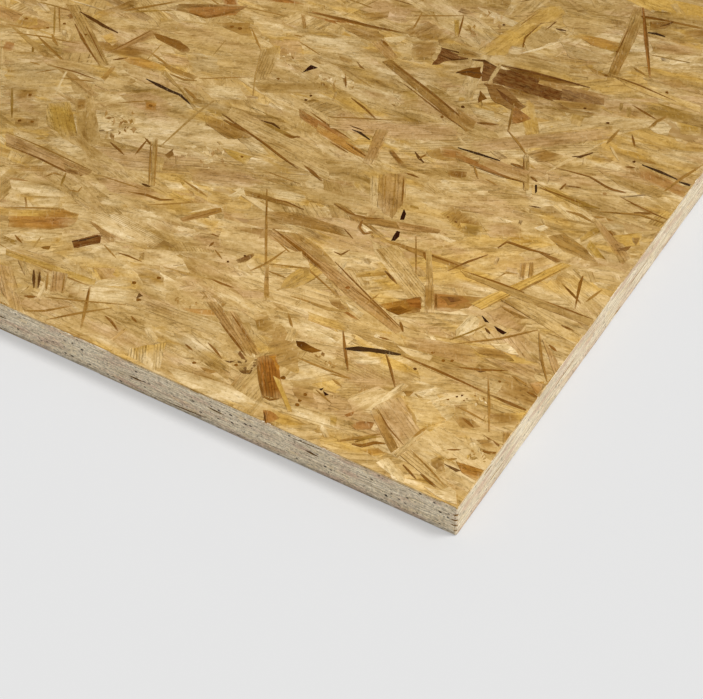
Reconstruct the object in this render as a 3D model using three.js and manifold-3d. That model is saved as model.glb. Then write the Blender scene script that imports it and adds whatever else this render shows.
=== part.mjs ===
// A full sheet of oriented strand board, lying flat: one pressed and sawn solid.
//
// Millimetres, +Z up. The origin is at the middle of the underside. +X runs along the sheet, the
// way the strands of the two face layers lie; the strands of the core between them lie along Y.
//
// The faces are pressed flat. What gives the board its section is its sawn edges: lens-shaped gaps
// where strands end against each other, chips along the arrises where the saw lifted a strand, and
// layers torn out at the four upright corners.

import * as THREE from "three";
import { mergeVertices } from "three/addons/utils/BufferGeometryUtils.js";
import Module from "manifold-3d";

// The sheet.
const sheetLength = 2440;
const sheetWidth = 1220;
const sheetThickness = 18;
const cornerRadius = 0.8;
const cornerSteps = 3; // straight steps in each rounded corner
const arrisEase = 0.35; // the fine bevel that the saw and handling leave

// The layers, from either face inwards: the core takes what the two face layers leave.
const faceLayerThickness = 4.5;

// Gaps in a sawn edge. A layer whose strands lie along the edge shows long thin gaps, and a layer
// whose strands are cut across shows short, taller ones.
const longGap = { length: [13, 30], height: [0.5, 0.9], depth: [2, 4] };
const shortGap = { length: [4.5, 10], height: [0.8, 1.5], depth: [4, 9] };
const coreGapPitch = 62;
const faceGapPitch = 170;
const gapMargin = 0.6; // solid wood kept between a gap and the limits of its layer
const gapLean = 0.06; // the most that a gap leans from level, in radians
const gapCornerClearance = 14;

// Chips along the arrises.
const chip = { length: [7, 24], reach: [0.5, 1.3], depth: [0.35, 0.7] };
const chipPitch = 150;
const chipSlope = 0.3; // how far a chip's floor falls outwards, in radians

// Layers torn out at the upright corners, on the edge that the saw left last.
const tear = { length: [2.6, 4.8], reach: [1.1, 1.7], height: [0.7, 1.1] };
const tearCount = 4;
const tearPitch = 3.3;
const lowestTear = 2.6; // over the underside

const lensSteps = 4; // straight steps in each of a lens outline's two curves
const overcut = 1; // how far a cutter stands clear of the face that it enters
const seed = 18;

const boardColour = 0xc6a06a;
const boardRoughness = 0.78;

const wasm = await Module();
wasm.setup();

// A repeatable source of numbers from 0 to 1, by the mulberry32 rule.
function numbersFrom(start) {
  let state = start;
  return () => {
    state = (state + 0x6d2b79f5) | 0;
    let mixed = Math.imul(state ^ (state >>> 15), 1 | state);
    mixed = (mixed + Math.imul(mixed ^ (mixed >>> 7), 61 | mixed)) ^ mixed;
    return ((mixed ^ (mixed >>> 14)) >>> 0) / 4294967296;
  };
}

const between = (range, share) => range[0] + (range[1] - range[0]) * share;

// A length, height and so on, each drawn from its range.
function drawSize(ranges, random) {
  const drawn = Object.entries(ranges).map(([name, range]) => [name, between(range, random())]);
  return Object.fromEntries(drawn);
}

// A closed three.js geometry, placed by a matrix, as a solid that can cut or be cut.
function solidOf(geometry, place) {
  const bare = new THREE.BufferGeometry();
  bare.setAttribute("position", geometry.getAttribute("position").clone());
  const merged = mergeVertices(bare.applyMatrix4(place), 1e-4);
  return new wasm.Manifold(
    new wasm.Mesh({
      numProp: 3,
      vertProperties: merged.getAttribute("position").array,
      triVerts: new Uint32Array(merged.index.array),
    }),
  );
}

// A cut solid as a three.js geometry again.
function geometryOf(solid) {
  const mesh = solid.getMesh();
  const geometry = new THREE.BufferGeometry();
  geometry.setAttribute("position", new THREE.BufferAttribute(mesh.vertProperties, mesh.numProp));
  geometry.setIndex(new THREE.BufferAttribute(mesh.triVerts, 1));
  geometry.computeVertexNormals();
  return geometry;
}

// The plan of the sheet inside its eased arrises, with four slightly rounded corners.
function planOutline() {
  const x = sheetLength / 2 - arrisEase - cornerRadius;
  const y = sheetWidth / 2 - arrisEase - cornerRadius;
  const quarter = Math.PI / 2;
  const plan = new THREE.Shape();
  plan.moveTo(-x, -y - cornerRadius);
  plan.lineTo(x, -y - cornerRadius);
  plan.absarc(x, -y, cornerRadius, -quarter, 0);
  plan.lineTo(x + cornerRadius, y);
  plan.absarc(x, y, cornerRadius, 0, quarter);
  plan.lineTo(-x, y + cornerRadius);
  plan.absarc(-x, y, cornerRadius, quarter, 2 * quarter);
  plan.lineTo(-x - cornerRadius, -y);
  plan.absarc(-x, -y, cornerRadius, 2 * quarter, 3 * quarter);
  return plan;
}

// The sheet before its edges are worked: the plan, extruded, with the bevel at both arrises.
function blankSheet() {
  const geometry = new THREE.ExtrudeGeometry(planOutline(), {
    depth: sheetThickness - 2 * arrisEase,
    bevelEnabled: true,
    bevelThickness: arrisEase,
    bevelSize: arrisEase,
    bevelSegments: 1,
    curveSegments: cornerSteps,
  });
  return solidOf(geometry, new THREE.Matrix4().makeTranslation(0, 0, arrisEase));
}

// The four sawn edges. Each has a frame of its own: x along the edge from its left end as seen
// from outside, y up from the underside, and z out of the sheet.
function sawnEdges() {
  const sides = [
    { quarterTurns: 0, length: sheetLength, distance: sheetWidth / 2, alongStrandsOf: "face" },
    { quarterTurns: 1, length: sheetWidth, distance: sheetLength / 2, alongStrandsOf: "core" },
    { quarterTurns: 2, length: sheetLength, distance: sheetWidth / 2, alongStrandsOf: "face" },
    { quarterTurns: 3, length: sheetWidth, distance: sheetLength / 2, alongStrandsOf: "core" },
  ];
  const upright = new THREE.Matrix4().makeRotationX(Math.PI / 2);
  return sides.map((side) => {
    const toEnd = new THREE.Matrix4().makeTranslation(-side.length / 2, -side.distance, 0);
    const turn = new THREE.Matrix4().makeRotationZ((side.quarterTurns * Math.PI) / 2);
    return { ...side, frame: turn.multiply(toEnd).multiply(upright) };
  });
}

// A flat outline pushed through a depth, stood in an edge's frame.
function cutter(edge, outline, depth, stand) {
  const geometry = new THREE.ExtrudeGeometry(outline, {
    depth,
    bevelEnabled: false,
    curveSegments: lensSteps,
  });
  return solidOf(geometry, edge.frame.clone().multiply(stand));
}

// A pointed lens, the outline of the space between two strands that part and meet again.
function lensOutline(length, height) {
  const lens = new THREE.Shape();
  lens.moveTo(-length / 2, 0);
  lens.quadraticCurveTo(0, -height, length / 2, 0);
  lens.quadraticCurveTo(0, height, -length / 2, 0);
  return lens;
}

// The gaps of one layer of an edge: one in each pitch of its length, at a place that varies.
function gapsInLayer(edge, layer, random) {
  const ranges = layer.name === edge.alongStrandsOf ? longGap : shortGap;
  const usable = edge.length - 2 * gapCornerClearance;
  const count = Math.max(1, Math.floor(usable / layer.pitch));
  const cell = usable / count;
  const cutters = [];
  for (let i = 0; i < count; i++) {
    const size = drawSize(ranges, random);
    const lean = between([-gapLean, gapLean], random());
    const halfRise = size.height / 2 + (size.length / 2) * Math.abs(Math.sin(lean));
    const clear = Math.min(halfRise + gapMargin, (layer.to - layer.from) / 2);
    const start = gapCornerClearance + cell * i + size.length / 2;
    const along = start + (cell - size.length) * random();
    const up = between([layer.from + clear, layer.to - clear], random());
    const stand = new THREE.Matrix4()
      .makeTranslation(along, up, -size.depth)
      .multiply(new THREE.Matrix4().makeRotationZ(lean));
    cutters.push(cutter(edge, lensOutline(size.length, size.height), size.depth + overcut, stand));
  }
  return cutters;
}

function edgeGaps(edge, random) {
  const coreTop = sheetThickness - faceLayerThickness;
  const layers = [
    { name: "face", from: 0, to: faceLayerThickness, pitch: faceGapPitch },
    { name: "core", from: faceLayerThickness, to: coreTop, pitch: coreGapPitch },
    { name: "face", from: coreTop, to: sheetThickness, pitch: faceGapPitch },
  ];
  return layers.flatMap((layer) => gapsInLayer(edge, layer, random));
}

// A chip is a lens in plan, half of it outside the sheet, with a floor that falls outwards. One
// lies in each pitch of the upper and of the lower arris.
function arrisChips(edge, random) {
  const count = Math.max(1, Math.floor(edge.length / chipPitch));
  const cell = edge.length / count;
  const cutters = [];
  for (const face of [0, sheetThickness]) {
    const turn = (face > 0 ? -1 : 1) * (Math.PI / 2 - chipSlope);
    for (let i = 0; i < count; i++) {
      const size = drawSize(chip, random);
      const along = cell * i + size.length + (cell - 2 * size.length) * random();
      const stand = new THREE.Matrix4()
        .makeTranslation(along, face, 0)
        .multiply(new THREE.Matrix4().makeRotationX(turn))
        .multiply(new THREE.Matrix4().makeTranslation(0, 0, -size.depth));
      const outline = lensOutline(size.length, 2 * size.reach);
      cutters.push(cutter(edge, outline, size.depth + overcut, stand));
    }
  }
  return cutters;
}

// A tear is a flat wedge in plan: deepest at the corner, and nothing where the strand still holds.
function tearOutline(edge, size) {
  const start = edge.length - size.length;
  const end = edge.length + overcut;
  const wedge = new THREE.Shape();
  wedge.moveTo(start, -overcut);
  wedge.lineTo(end, -overcut);
  wedge.lineTo(end, size.reach);
  wedge.quadraticCurveTo(edge.length - size.length / 3, size.reach, start, -overcut);
  return wedge;
}

// The tears climb the corner at the edge's right end, a pitch apart.
function cornerTears(edge, random) {
  const cutters = [];
  for (let i = 0; i < tearCount; i++) {
    const size = drawSize(tear, random);
    const stand = new THREE.Matrix4()
      .makeTranslation(0, lowestTear + tearPitch * i, 0)
      .multiply(new THREE.Matrix4().makeRotationX(-Math.PI / 2));
    cutters.push(cutter(edge, tearOutline(edge, size), size.height, stand));
  }
  return cutters;
}

function sawnSheet() {
  const random = numbersFrom(seed);
  const cutters = sawnEdges().flatMap((edge) => [
    ...edgeGaps(edge, random),
    ...arrisChips(edge, random),
    ...cornerTears(edge, random),
  ]);
  return blankSheet().subtract(wasm.Manifold.union(cutters));
}

const strandBoard = new THREE.MeshStandardMaterial({
  color: boardColour,
  roughness: boardRoughness,
  metalness: 0,
});

const panel = new THREE.Mesh(geometryOf(sawnSheet()), strandBoard);
panel.name = "osb_panel";

const board = new THREE.Group();
board.add(panel);

export default board;
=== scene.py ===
import math
import random
from collections import namedtuple

import bpy
import numpy as np
from mathutils import Matrix, Vector


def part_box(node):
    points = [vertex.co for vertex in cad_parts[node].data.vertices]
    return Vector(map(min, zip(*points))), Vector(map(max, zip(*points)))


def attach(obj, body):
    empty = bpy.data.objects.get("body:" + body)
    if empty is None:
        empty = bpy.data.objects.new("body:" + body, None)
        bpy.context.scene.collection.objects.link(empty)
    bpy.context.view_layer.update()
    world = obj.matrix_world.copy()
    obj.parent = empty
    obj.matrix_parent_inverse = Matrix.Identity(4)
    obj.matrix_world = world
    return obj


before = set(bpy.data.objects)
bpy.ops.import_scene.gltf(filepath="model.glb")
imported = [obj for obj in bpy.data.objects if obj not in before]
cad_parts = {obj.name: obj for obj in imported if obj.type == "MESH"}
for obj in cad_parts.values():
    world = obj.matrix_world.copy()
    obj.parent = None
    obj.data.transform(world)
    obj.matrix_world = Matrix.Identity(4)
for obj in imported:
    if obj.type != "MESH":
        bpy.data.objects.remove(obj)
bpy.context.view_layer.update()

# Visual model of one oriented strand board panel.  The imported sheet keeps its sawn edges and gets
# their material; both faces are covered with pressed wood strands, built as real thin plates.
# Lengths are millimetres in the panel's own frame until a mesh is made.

SHEET = "osb_panel"
MM = 0.001
SHEET_LOW = Vector(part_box(SHEET)[0]) / MM
SHEET_HIGH = Vector(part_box(SHEET)[1]) / MM
THICKNESS = SHEET_HIGH.z
NEAR_CORNER = Vector((SHEET_HIGH.x, SHEET_LOW.y, THICKNESS))

# ---------------------------------------------------------------- camera of the photograph
PHOTO_WIDTH = 703
PHOTO_HEIGHT = 699
FOCAL_PX = 2000.0
SENSOR_MM = 36.0
CAMERA_FROM_CORNER = Vector((240.5, -462.3, 630.0))
CAMERA_AZIMUTH = math.radians(32.064)
CAMERA_DOWN = math.radians(45.889)
CAMERA_ROLL = math.radians(-1.219)
CLIP_START = 0.05
CLIP_END = 200.0


def camera_axes():
    """Right, up and forward of the camera, in the panel's frame."""
    forward = Vector((
        -math.sin(CAMERA_AZIMUTH) * math.cos(CAMERA_DOWN),
        math.cos(CAMERA_AZIMUTH) * math.cos(CAMERA_DOWN),
        -math.sin(CAMERA_DOWN),
    ))
    level = Vector((math.cos(CAMERA_AZIMUTH), math.sin(CAMERA_AZIMUTH), 0.0))
    upright = level.cross(forward)
    right = level * math.cos(CAMERA_ROLL) + upright * math.sin(CAMERA_ROLL)
    return right, right.cross(forward), forward


RIGHT, UP, FORWARD = camera_axes()
CAMERA_PLACE = NEAR_CORNER + CAMERA_FROM_CORNER


def add_camera():
    data = bpy.data.cameras.new("camera")
    data.sensor_width = SENSOR_MM
    data.lens = FOCAL_PX * SENSOR_MM / PHOTO_WIDTH
    data.clip_start = CLIP_START
    data.clip_end = CLIP_END
    camera = bpy.data.objects.new("camera", data)
    turn = Matrix((RIGHT, UP, -FORWARD)).transposed().to_4x4()
    camera.matrix_world = Matrix.Translation(CAMERA_PLACE * MM) @ turn
    bpy.context.scene.collection.objects.link(camera)
    bpy.context.scene.camera = camera


def on_face(pixel):
    """The point of the top face that the photograph shows at a pixel."""
    ray = (
        FORWARD * FOCAL_PX
        + RIGHT * (pixel[0] - PHOTO_WIDTH / 2)
        - UP * (pixel[1] - PHOTO_HEIGHT / 2)
    )
    hit = CAMERA_PLACE + ray * ((THICKNESS - CAMERA_PLACE.z) / ray.z)
    return hit.x, hit.y


# ---------------------------------------------------------------- wood colours, as sRGB
CREAM = (228, 199, 145)
PALE = (213, 180, 122)
TAN = (197, 161, 99)
GREY = (194, 163, 109)
GOLD = (206, 162, 78)
YELLOW = (186, 144, 60)
PINK = (194, 154, 101)
CLAY = (172, 129, 72)
DULL = (173, 135, 72)
UMBER = (156, 112, 47)
OLIVE = (150, 111, 42)
ORANGE = (172, 116, 40)
RUST = (156, 99, 36)
BROWN = (128, 81, 21)
MAROON = (110, 63, 20)
DARK = (90, 51, 7)
BLACK = (48, 20, 4)

# wood that is darker is also browner: how fast green and blue fall with red
GREEN_POWER = 1.42
BLUE_POWER = 2.5
FINE_GREEN_POWER = 1.26
FINE_BLUE_POWER = 2.0

# share of the strands in each colour
MAT_SHARES = ((CREAM, 0.10), (PALE, 0.28), (TAN, 0.32), (GOLD, 0.08), (PINK, 0.09), (DULL, 0.13))
MEDIUM_SHARES = (
    (CREAM, 0.16), (PALE, 0.22), (TAN, 0.22), (GOLD, 0.08), (PINK, 0.08),
    (DULL, 0.14), (OLIVE, 0.04), (ORANGE, 0.03), (BROWN, 0.03),
)
CHIP_SHARES = (
    (CREAM, 0.20), (PALE, 0.24), (TAN, 0.14), (GOLD, 0.08), (DULL, 0.14),
    (OLIVE, 0.06), (BROWN, 0.10), (DARK, 0.04),
)
SLIVER_SHARES = (
    (CREAM, 0.14), (PALE, 0.14), (TAN, 0.14), (DULL, 0.22), (OLIVE, 0.10),
    (ORANGE, 0.08), (BROWN, 0.14), (DARK, 0.04),
)
ACCENT_SHARES = (
    (UMBER, 0.30), (CLAY, 0.20), (DULL, 0.14), (OLIVE, 0.08), (YELLOW, 0.07), (RUST, 0.09),
    (BROWN, 0.09), (MAROON, 0.03),
)
DARK_SLIVER_SHARES = (
    (UMBER, 0.34), (BROWN, 0.34), (OLIVE, 0.10), (DARK, 0.10), (RUST, 0.06), (BLACK, 0.02),
)


def tint(share):
    """A multiplier for wood colour: below 1 it gets darker and browner, above 1 paler."""
    return share, share**GREEN_POWER, share**BLUE_POWER


def fine_tint(share):
    """The same for marks as fine as a fibre, which keep the hue of the wood round them."""
    return share, share**FINE_GREEN_POWER, share**FINE_BLUE_POWER


def linear(srgb):
    """A colour given as 0 to 255 sRGB, in linear light."""
    made = []
    for value in srgb:
        c = value / 255.0
        made.append(c / 12.92 if c <= 0.04045 else ((c + 0.055) / 1.055) ** 2.4)
    return tuple(made)


def pick_tone(rng, shares):
    spin = rng.random() * sum(share for _, share in shares)
    for tone, share in shares:
        spin -= share
        if spin <= 0:
            return tone
    return shares[0][0]


# ---------------------------------------------------------------- strands
# A strand is an outline in its own axes: u along the grain, v across it.
Strand = namedtuple(
    "Strand",
    "x y angle outline reach half tone second blend figure pitch mottle rim hold crisp sit seed",
)
EDGE_WAVER = 0.35
POINT_SHARE = 0.06
POINT_POWER = 0.8
MOST_SKEW = 0.6
LONGEST_TOOTH_SHARE = 0.15

# a torn end is cut into bundles of fibres; a few of them reach out twice as far
MOST_BUNDLES = 8
COARSE_BUNDLE = 2.6
FINER_BY = 1.2
CUT_REACH = 0.92
LONG_BUNDLE_CHANCE = 0.15
BUNDLE_GAP = 0.08

# looks that a strand without its own is given by chance
FIGURES = (0.1, 0.25, 0.45, 0.9)
PITCHES = (1.3, 1.8, 2.6, 4.0)
# strength of the painted shade line along one side of a strand; its sign picks the side
PAINTED_RIM_SHADES = (0.0, 0.15, 0.3, 0.6)
HOLDS = (0.25, 0.4, 0.6, 0.9)
CRISPS = (0.1, 0.25, 0.4, 0.6)
FIGURE_SPREAD = (0.7, 1.3)
PITCH_SPREAD = (0.8, 1.2)
SHADE_SPREAD = (0.95, 1.05)
MOST_SEED = 900.0


def side_stations(length, width, taper, steps):
    """Half widths along the strand: taper pulls the first and second end to a point."""
    made = []
    for i in range(steps + 1):
        t = i / steps
        narrow = 1.0
        for share, gap in zip(taper, (t, 1.0 - t)):
            if share > 0:
                narrow *= min(1.0, POINT_SHARE + (gap / share)) ** POINT_POWER
        made.append((length * (t - 0.5), 0.5 * width * narrow))
    return made


def broken_end(rng, at, half, skew, tooth, sign, fine):
    """Points across a torn end, from v = -half to +half: bundles of fibres of unequal length."""
    bundle = COARSE_BUNDLE - FINER_BY * fine
    bundles = max(1, min(int(MOST_BUNDLES * fine), int(2 * half / bundle)))
    cuts = sorted(rng.uniform(-CUT_REACH, CUT_REACH) * half for _ in range(bundles - 1))
    cuts = [-half] + cuts + [half]
    made = []
    for low, high in zip(cuts, cuts[1:]):
        reach = tooth * rng.random() ** 2 * (2.0 if rng.random() < LONG_BUNDLE_CHANCE else 1.0)
        lean = rng.uniform(-0.5, 0.5) * min(high - low, tooth)
        gap = BUNDLE_GAP * (high - low)
        for v, push in ((low + gap, -lean), (high - gap, lean)):
            made.append((at + skew * v + sign * (reach + 0.5 * push), v))
    return made


def strand_outline(rng, length, width, taper=(0, 0), bend=0.0, tooth=2.0, steps=4, fine=0.5):
    """Closed outline, anticlockwise, of one strand."""
    stations = side_stations(length, width, taper, steps)
    reach = min(tooth, LONGEST_TOOTH_SHARE * length)
    first, last = stations[0], stations[-1]
    skews = [rng.uniform(-MOST_SKEW, MOST_SKEW) for _ in range(2)]
    sides = []
    for side in (-1, 1):
        start = first[0] + skews[0] * side * first[1]
        run = last[0] + skews[1] * side * last[1] - start
        points = []
        for i, (u, h) in enumerate(stations):
            waver = rng.uniform(-1, 1) * min(EDGE_WAVER, 0.25 * h) if 0 < i < steps else 0.0
            points.append((start + run * i / steps, side * (h + waver)))
        sides.append(points)
    right = broken_end(rng, last[0], last[1], skews[1], reach, 1, fine)
    left = broken_end(rng, first[0], first[1], skews[0], reach, -1, fine)
    points = sides[0] + right + sides[1][::-1] + left[::-1]
    return [(u, v + bend * (1.0 - (2.0 * u / length) ** 2)) for u, v in points]


def make_strand(rng, x, y, angle, outline, tone, second=None, blend=1.0, figure=None, pitch=None,
                mottle=0.0, rim=None, hold=None, crisp=None, sit=1.0):
    """Fills in whatever look is left open; hold is how far it keeps its own colour.

    The tone turns into the second one along the strand, by the share blend.
    A sit of 1 lays it on top of all that is under it, and less presses it in among them.
    """
    if second is None:
        second, blend = DULL, 0.0
    if figure is None:
        figure = rng.choice(FIGURES) * rng.uniform(*FIGURE_SPREAD)
    if pitch is None:
        pitch = rng.choice(PITCHES) * rng.uniform(*PITCH_SPREAD)
    if rim is None:
        # the painted shade line along one side: its strength and side by chance
        rim = rng.choice(PAINTED_RIM_SHADES) * rng.choice((-1, 1, 1))
    if hold is None:
        hold = rng.choice(HOLDS)
    if crisp is None:
        crisp = rng.choice(CRISPS)
    shade = rng.uniform(*SHADE_SPREAD)
    colour = tuple(c * shade for c in linear(tone))
    reach = max(abs(u) for u, _ in outline)
    half = max(abs(v) for _, v in outline)
    return Strand(x, y, angle, outline, reach, half, colour, linear(second), blend, figure, pitch,
                  mottle, rim, hold, crisp, sit, rng.uniform(0.0, MOST_SEED))


# ---------------------------------------------------------------- random strands over a face
# near_share and far_share: how many of them are kept by the drawn corner and elsewhere
Kind = namedtuple(
    "Kind", "cell spread length width taper_share steps tooth hold near_share far_share shares"
)
MAT_KIND = Kind((58.0, 15.5), 17.0, (50.0, 105.0), (8.0, 24.0), 0.25, 4, 6.0,
                (0.3, 0.5, 0.7, 0.9), 1.0, 1.0, MAT_SHARES)
MEDIUM_KIND = Kind((50.0, 24.0), 24.0, (16.0, 60.0), (3.0, 11.0), 0.3, 3, 5.0,
                   (0.5, 0.7, 0.9), 0.6, 1.0, MEDIUM_SHARES)
CHIP_KIND = Kind((17.0, 15.0), 45.0, (2.5, 10.0), (1.0, 4.0), 0.1, 1, 2.4,
                 (0.3, 0.5, 0.8), 0.5, 0.3, CHIP_SHARES)
SLIVER_KIND = Kind((62.0, 42.0), 35.0, (6.0, 30.0), (0.5, 1.4), 0.4, 2, 0.8,
                   (0.6, 0.9), 0.4, 1.0, SLIVER_SHARES)
ACCENT_KIND = Kind((54.0, 42.0), 30.0, (16.0, 80.0), (2.5, 11.0), 0.5, 3, 3.0,
                   (0.7, 0.9), 0.0, 1.0, ACCENT_SHARES)
DARK_SLIVER_KIND = Kind((40.0, 34.0), 34.0, (7.0, 55.0), (0.7, 2.0), 0.9, 2, 0.6,
                        (0.9, 1.0), 0.0, 1.0, DARK_SLIVER_SHARES)
TOP_MAT_LAYERS = 3
BACK_MAT_LAYERS = 2
CROSSING_SHARE = 0.12
LOOSE_SIT = 0.45
STAIN_SIT = 0.35
LONGEST_STRAND = 106.0
DETAIL_REACH = 430.0
DRAWN_REACH = 345.0
DRAWN_HOLD = 0.8
JITTER = 0.45
TAPERS = (0.1, 0.4)
BEND_SHARE = 0.012
TOOTH_SHARES = (0.3, 1.6)
MOTTLED_CHANCE = 0.06
MOTTLE = 0.5
BLENDS = (0.0, 0.5, 0.8)
GRAIN_MEAN = 3.0
# waves of the grain over the sheet: swing in degrees, lengths along x and y, phase
GRAIN_WAVES = ((7.0, 310.0, 430.0, -2.1), (6.0, 130.0, -90.0, 0.7))


def grain_angle(x, y):
    """The mat's mean strand direction at a point, in degrees from the sheet's long side."""
    degrees = GRAIN_MEAN
    for swing, along, across, phase in GRAIN_WAVES:
        degrees += swing * math.sin(x / along + y / across + phase)
    return degrees


def from_corner(x, y):
    """Distance from the corner that the photograph shows."""
    return math.hypot(x - NEAR_CORNER.x, y - NEAR_CORNER.y)


def scatter(rng, kind):
    """One loose layer of strands, on a jittered grid over the whole face."""
    made = []
    nx = int((SHEET_HIGH.x - SHEET_LOW.x) / kind.cell[0]) + 2
    ny = int((SHEET_HIGH.y - SHEET_LOW.y) / kind.cell[1]) + 2
    shift = (rng.random(), rng.random())
    for i in range(nx):
        for j in range(ny):
            column = i - shift[0] + rng.uniform(-JITTER, JITTER) + 0.5 * (j % 2)
            x = SHEET_LOW.x + column * kind.cell[0]
            y = SHEET_LOW.y + (j - shift[1] + rng.uniform(-JITTER, JITTER)) * kind.cell[1]
            share = kind.near_share if from_corner(x, y) < DRAWN_REACH else kind.far_share
            if rng.random() < share:
                made.append(loose_strand(rng, kind, x, y))
    rng.shuffle(made)
    return made


def loose_strand(rng, kind, x, y):
    degrees = grain_angle(x, y) + rng.gauss(0.0, kind.spread)
    if rng.random() < CROSSING_SHARE:
        degrees = rng.uniform(-90.0, 90.0)
    length = min(rng.uniform(*kind.length), LONGEST_STRAND)
    width = rng.uniform(*kind.width)
    taper = [0.0, 0.0]
    for end in (0, 1):
        if rng.random() < kind.taper_share:
            taper[end] = rng.uniform(*TAPERS)
            break
    bend = rng.gauss(0.0, BEND_SHARE) * length
    fine = 1.0 if from_corner(x, y) < DETAIL_REACH else 0.0
    steps = kind.steps + 2 if fine else 1
    tooth = kind.tooth * rng.uniform(*TOOTH_SHARES)
    outline = strand_outline(rng, length, width, taper, bend, tooth, steps, fine)
    tone, second = pick_tone(rng, kind.shares), pick_tone(rng, kind.shares)
    mottle = MOTTLE if rng.random() < MOTTLED_CHANCE else 0.0
    hold = rng.choice(kind.hold) * (DRAWN_HOLD if from_corner(x, y) < DRAWN_REACH else 1.0)
    return make_strand(rng, x, y, math.radians(degrees), outline, tone, second, rng.choice(BLENDS),
                       mottle=mottle, hold=hold, sit=LOOSE_SIT)


# ---------------------------------------------------------------- strands read off the photograph
# Each is drawn as a line or outline of photo pixels, put on the sheet's top face.
# The listers below run from the far side of the face to the near corner, later strands on top.
PHOTO_STRANDS = []
FLAKE_LOOK = dict(hold=0.85, crisp=0.7, rim=0.0, figure=0.4)
STAIN_LOOK = dict(hold=0.75, crisp=0.0, sit=STAIN_SIT)
SLIVER_LOOK = dict(hold=0.95, rim=0.0, figure=0.15)
BIT_LOOK = dict(hold=1.0, crisp=0.9, rim=0.0, figure=0.0)
CHIP_LOOK = dict(crisp=0.9, hold=0.8, figure=0.1)
BROAD_LOOK = dict(hold=0.85, sit=0.8, figure=0.2, mottle=0.1)
FLAKE_SOFTNESS = 0.62
SLIVER_CRISP = 0.6
SLIVER_TIP = 0.3
SLIVER_WIDTHS = (0.8, 1.1)
BIT_SIDES = 7
BIT_RADII = (0.3, 0.6)
BIT_TURN = 0.6
CHIP_WIDTHS = (0.25, 0.6)
CHIP_TAILS = (0.5, 1.0)
MM_A_PIXEL = 0.45

# how far the outline wavers along the grain and across it, in steps along each side
SIDE_ROUGH = 0.16
END_ROUGH = 1.0
ROUGH_STEP = 2.6
MOST_ROUGH_STEPS = 14
MOST_ROUGH_SHARE = 0.16


def flake(tone, *pixels, **look):
    """A flake drawn round by pixels.

    Its grain runs from the first pixel to the second, or by the run given, a step in pixels.
    """
    look = dict(FLAKE_LOOK, **look)
    if look["crisp"] < 1.0:
        look["crisp"] *= FLAKE_SOFTNESS
    PHOTO_STRANDS.append((outlined_strand, pixels, dict(look, tone=tone)))


def stain(tone, *pixels, **look):
    """A flake whose colour fades into the mat round it."""
    flake(tone, *pixels, **dict(STAIN_LOOK, **look))


def sliver(tone, width, *pixels, **look):
    """A thin strand along a line of pixels, pointed at both ends; width in millimetres."""
    crisp = 1.0 if tone in (BLACK, DARK) else SLIVER_CRISP
    look = dict(dict(SLIVER_LOOK, crisp=crisp), **look)
    PHOTO_STRANDS.append((thin_strand, pixels, dict(look, tone=tone, width=width)))


def specks(tone, size, *pixels):
    """Small dark or pale bits, size in millimetres."""
    for pixel in pixels:
        PHOTO_STRANDS.append((small_bit, (pixel,), dict(tone=tone, size=size)))


def roughened(rng, points, angle):
    """The outline with its long sides wavering and the ends across the grain torn."""
    made = []
    for i, a in enumerate(points):
        b = points[(i + 1) % len(points)]
        side = b - a
        across = abs(math.sin(math.atan2(side.y, side.x) - angle))
        steps = max(1, min(MOST_ROUGH_STEPS, int(side.length / ROUGH_STEP)))
        rough = min(SIDE_ROUGH + (END_ROUGH - SIDE_ROUGH) * across, MOST_ROUGH_SHARE * side.length)
        out = Vector((side.y, -side.x)).normalized()
        for k in range(steps):
            push = rng.uniform(-rough, rough) if k else 0.0
            made.append(a + side * (k / steps) + out * push)
    return made


def placed_strand(rng, points, angle, tone, **look):
    """Turns an outline on the sheet into a strand about its own middle."""
    middle = sum(points, Vector((0.0, 0.0))) / len(points)
    cos, sin = math.cos(angle), math.sin(angle)
    outline = []
    for point in points:
        x, y = point - middle
        outline.append((x * cos + y * sin, y * cos - x * sin))
    return make_strand(rng, middle.x, middle.y, angle, outline, tone, **look)


def turn_of(points):
    """Above zero if the outline runs anticlockwise."""
    return sum(a.x * b.y - b.x * a.y for a, b in zip(points, points[1:] + points[:1]))


def outlined_strand(rng, pixels, tone, run=None, **look):
    points = [Vector(on_face(pixel)) for pixel in pixels]
    along = points[1] - points[0]
    if run:
        along = Vector(on_face((pixels[0][0] + run[0], pixels[0][1] + run[1]))) - points[0]
    angle = math.atan2(along.y, along.x)
    if turn_of(points) < 0:
        points.reverse()
    return placed_strand(rng, roughened(rng, points, angle), angle, tone, **look)


def thin_strand(rng, pixels, tone, width, **look):
    points = [Vector(on_face(pixel)) for pixel in pixels]
    along = points[-1] - points[0]
    if len(points) == 2:
        points.insert(1, (points[0] + points[1]) / 2)
    last = len(points) - 1
    right, left = [], []
    for i, point in enumerate(points):
        run = points[min(i + 1, last)] - points[max(i - 1, 0)]
        out = Vector((-run.y, run.x)).normalized() * (0.5 * width)
        share = SLIVER_TIP if i in (0, last) else rng.uniform(*SLIVER_WIDTHS)
        right.append(point - out * share)
        left.append(point + out * share)
    angle = math.atan2(along.y, along.x)
    return placed_strand(rng, right + left[::-1], angle, tone, **look)


def small_bit(rng, pixels, tone, size):
    middle = Vector(on_face(pixels[0]))
    points = []
    for i in range(BIT_SIDES):
        turn = math.tau * i / BIT_SIDES
        points.append(middle + Vector((math.cos(turn), math.sin(turn))) * size * rng.uniform(*BIT_RADII))
    return placed_strand(rng, points, rng.uniform(-BIT_TURN, BIT_TURN), tone, **BIT_LOOK)


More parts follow.
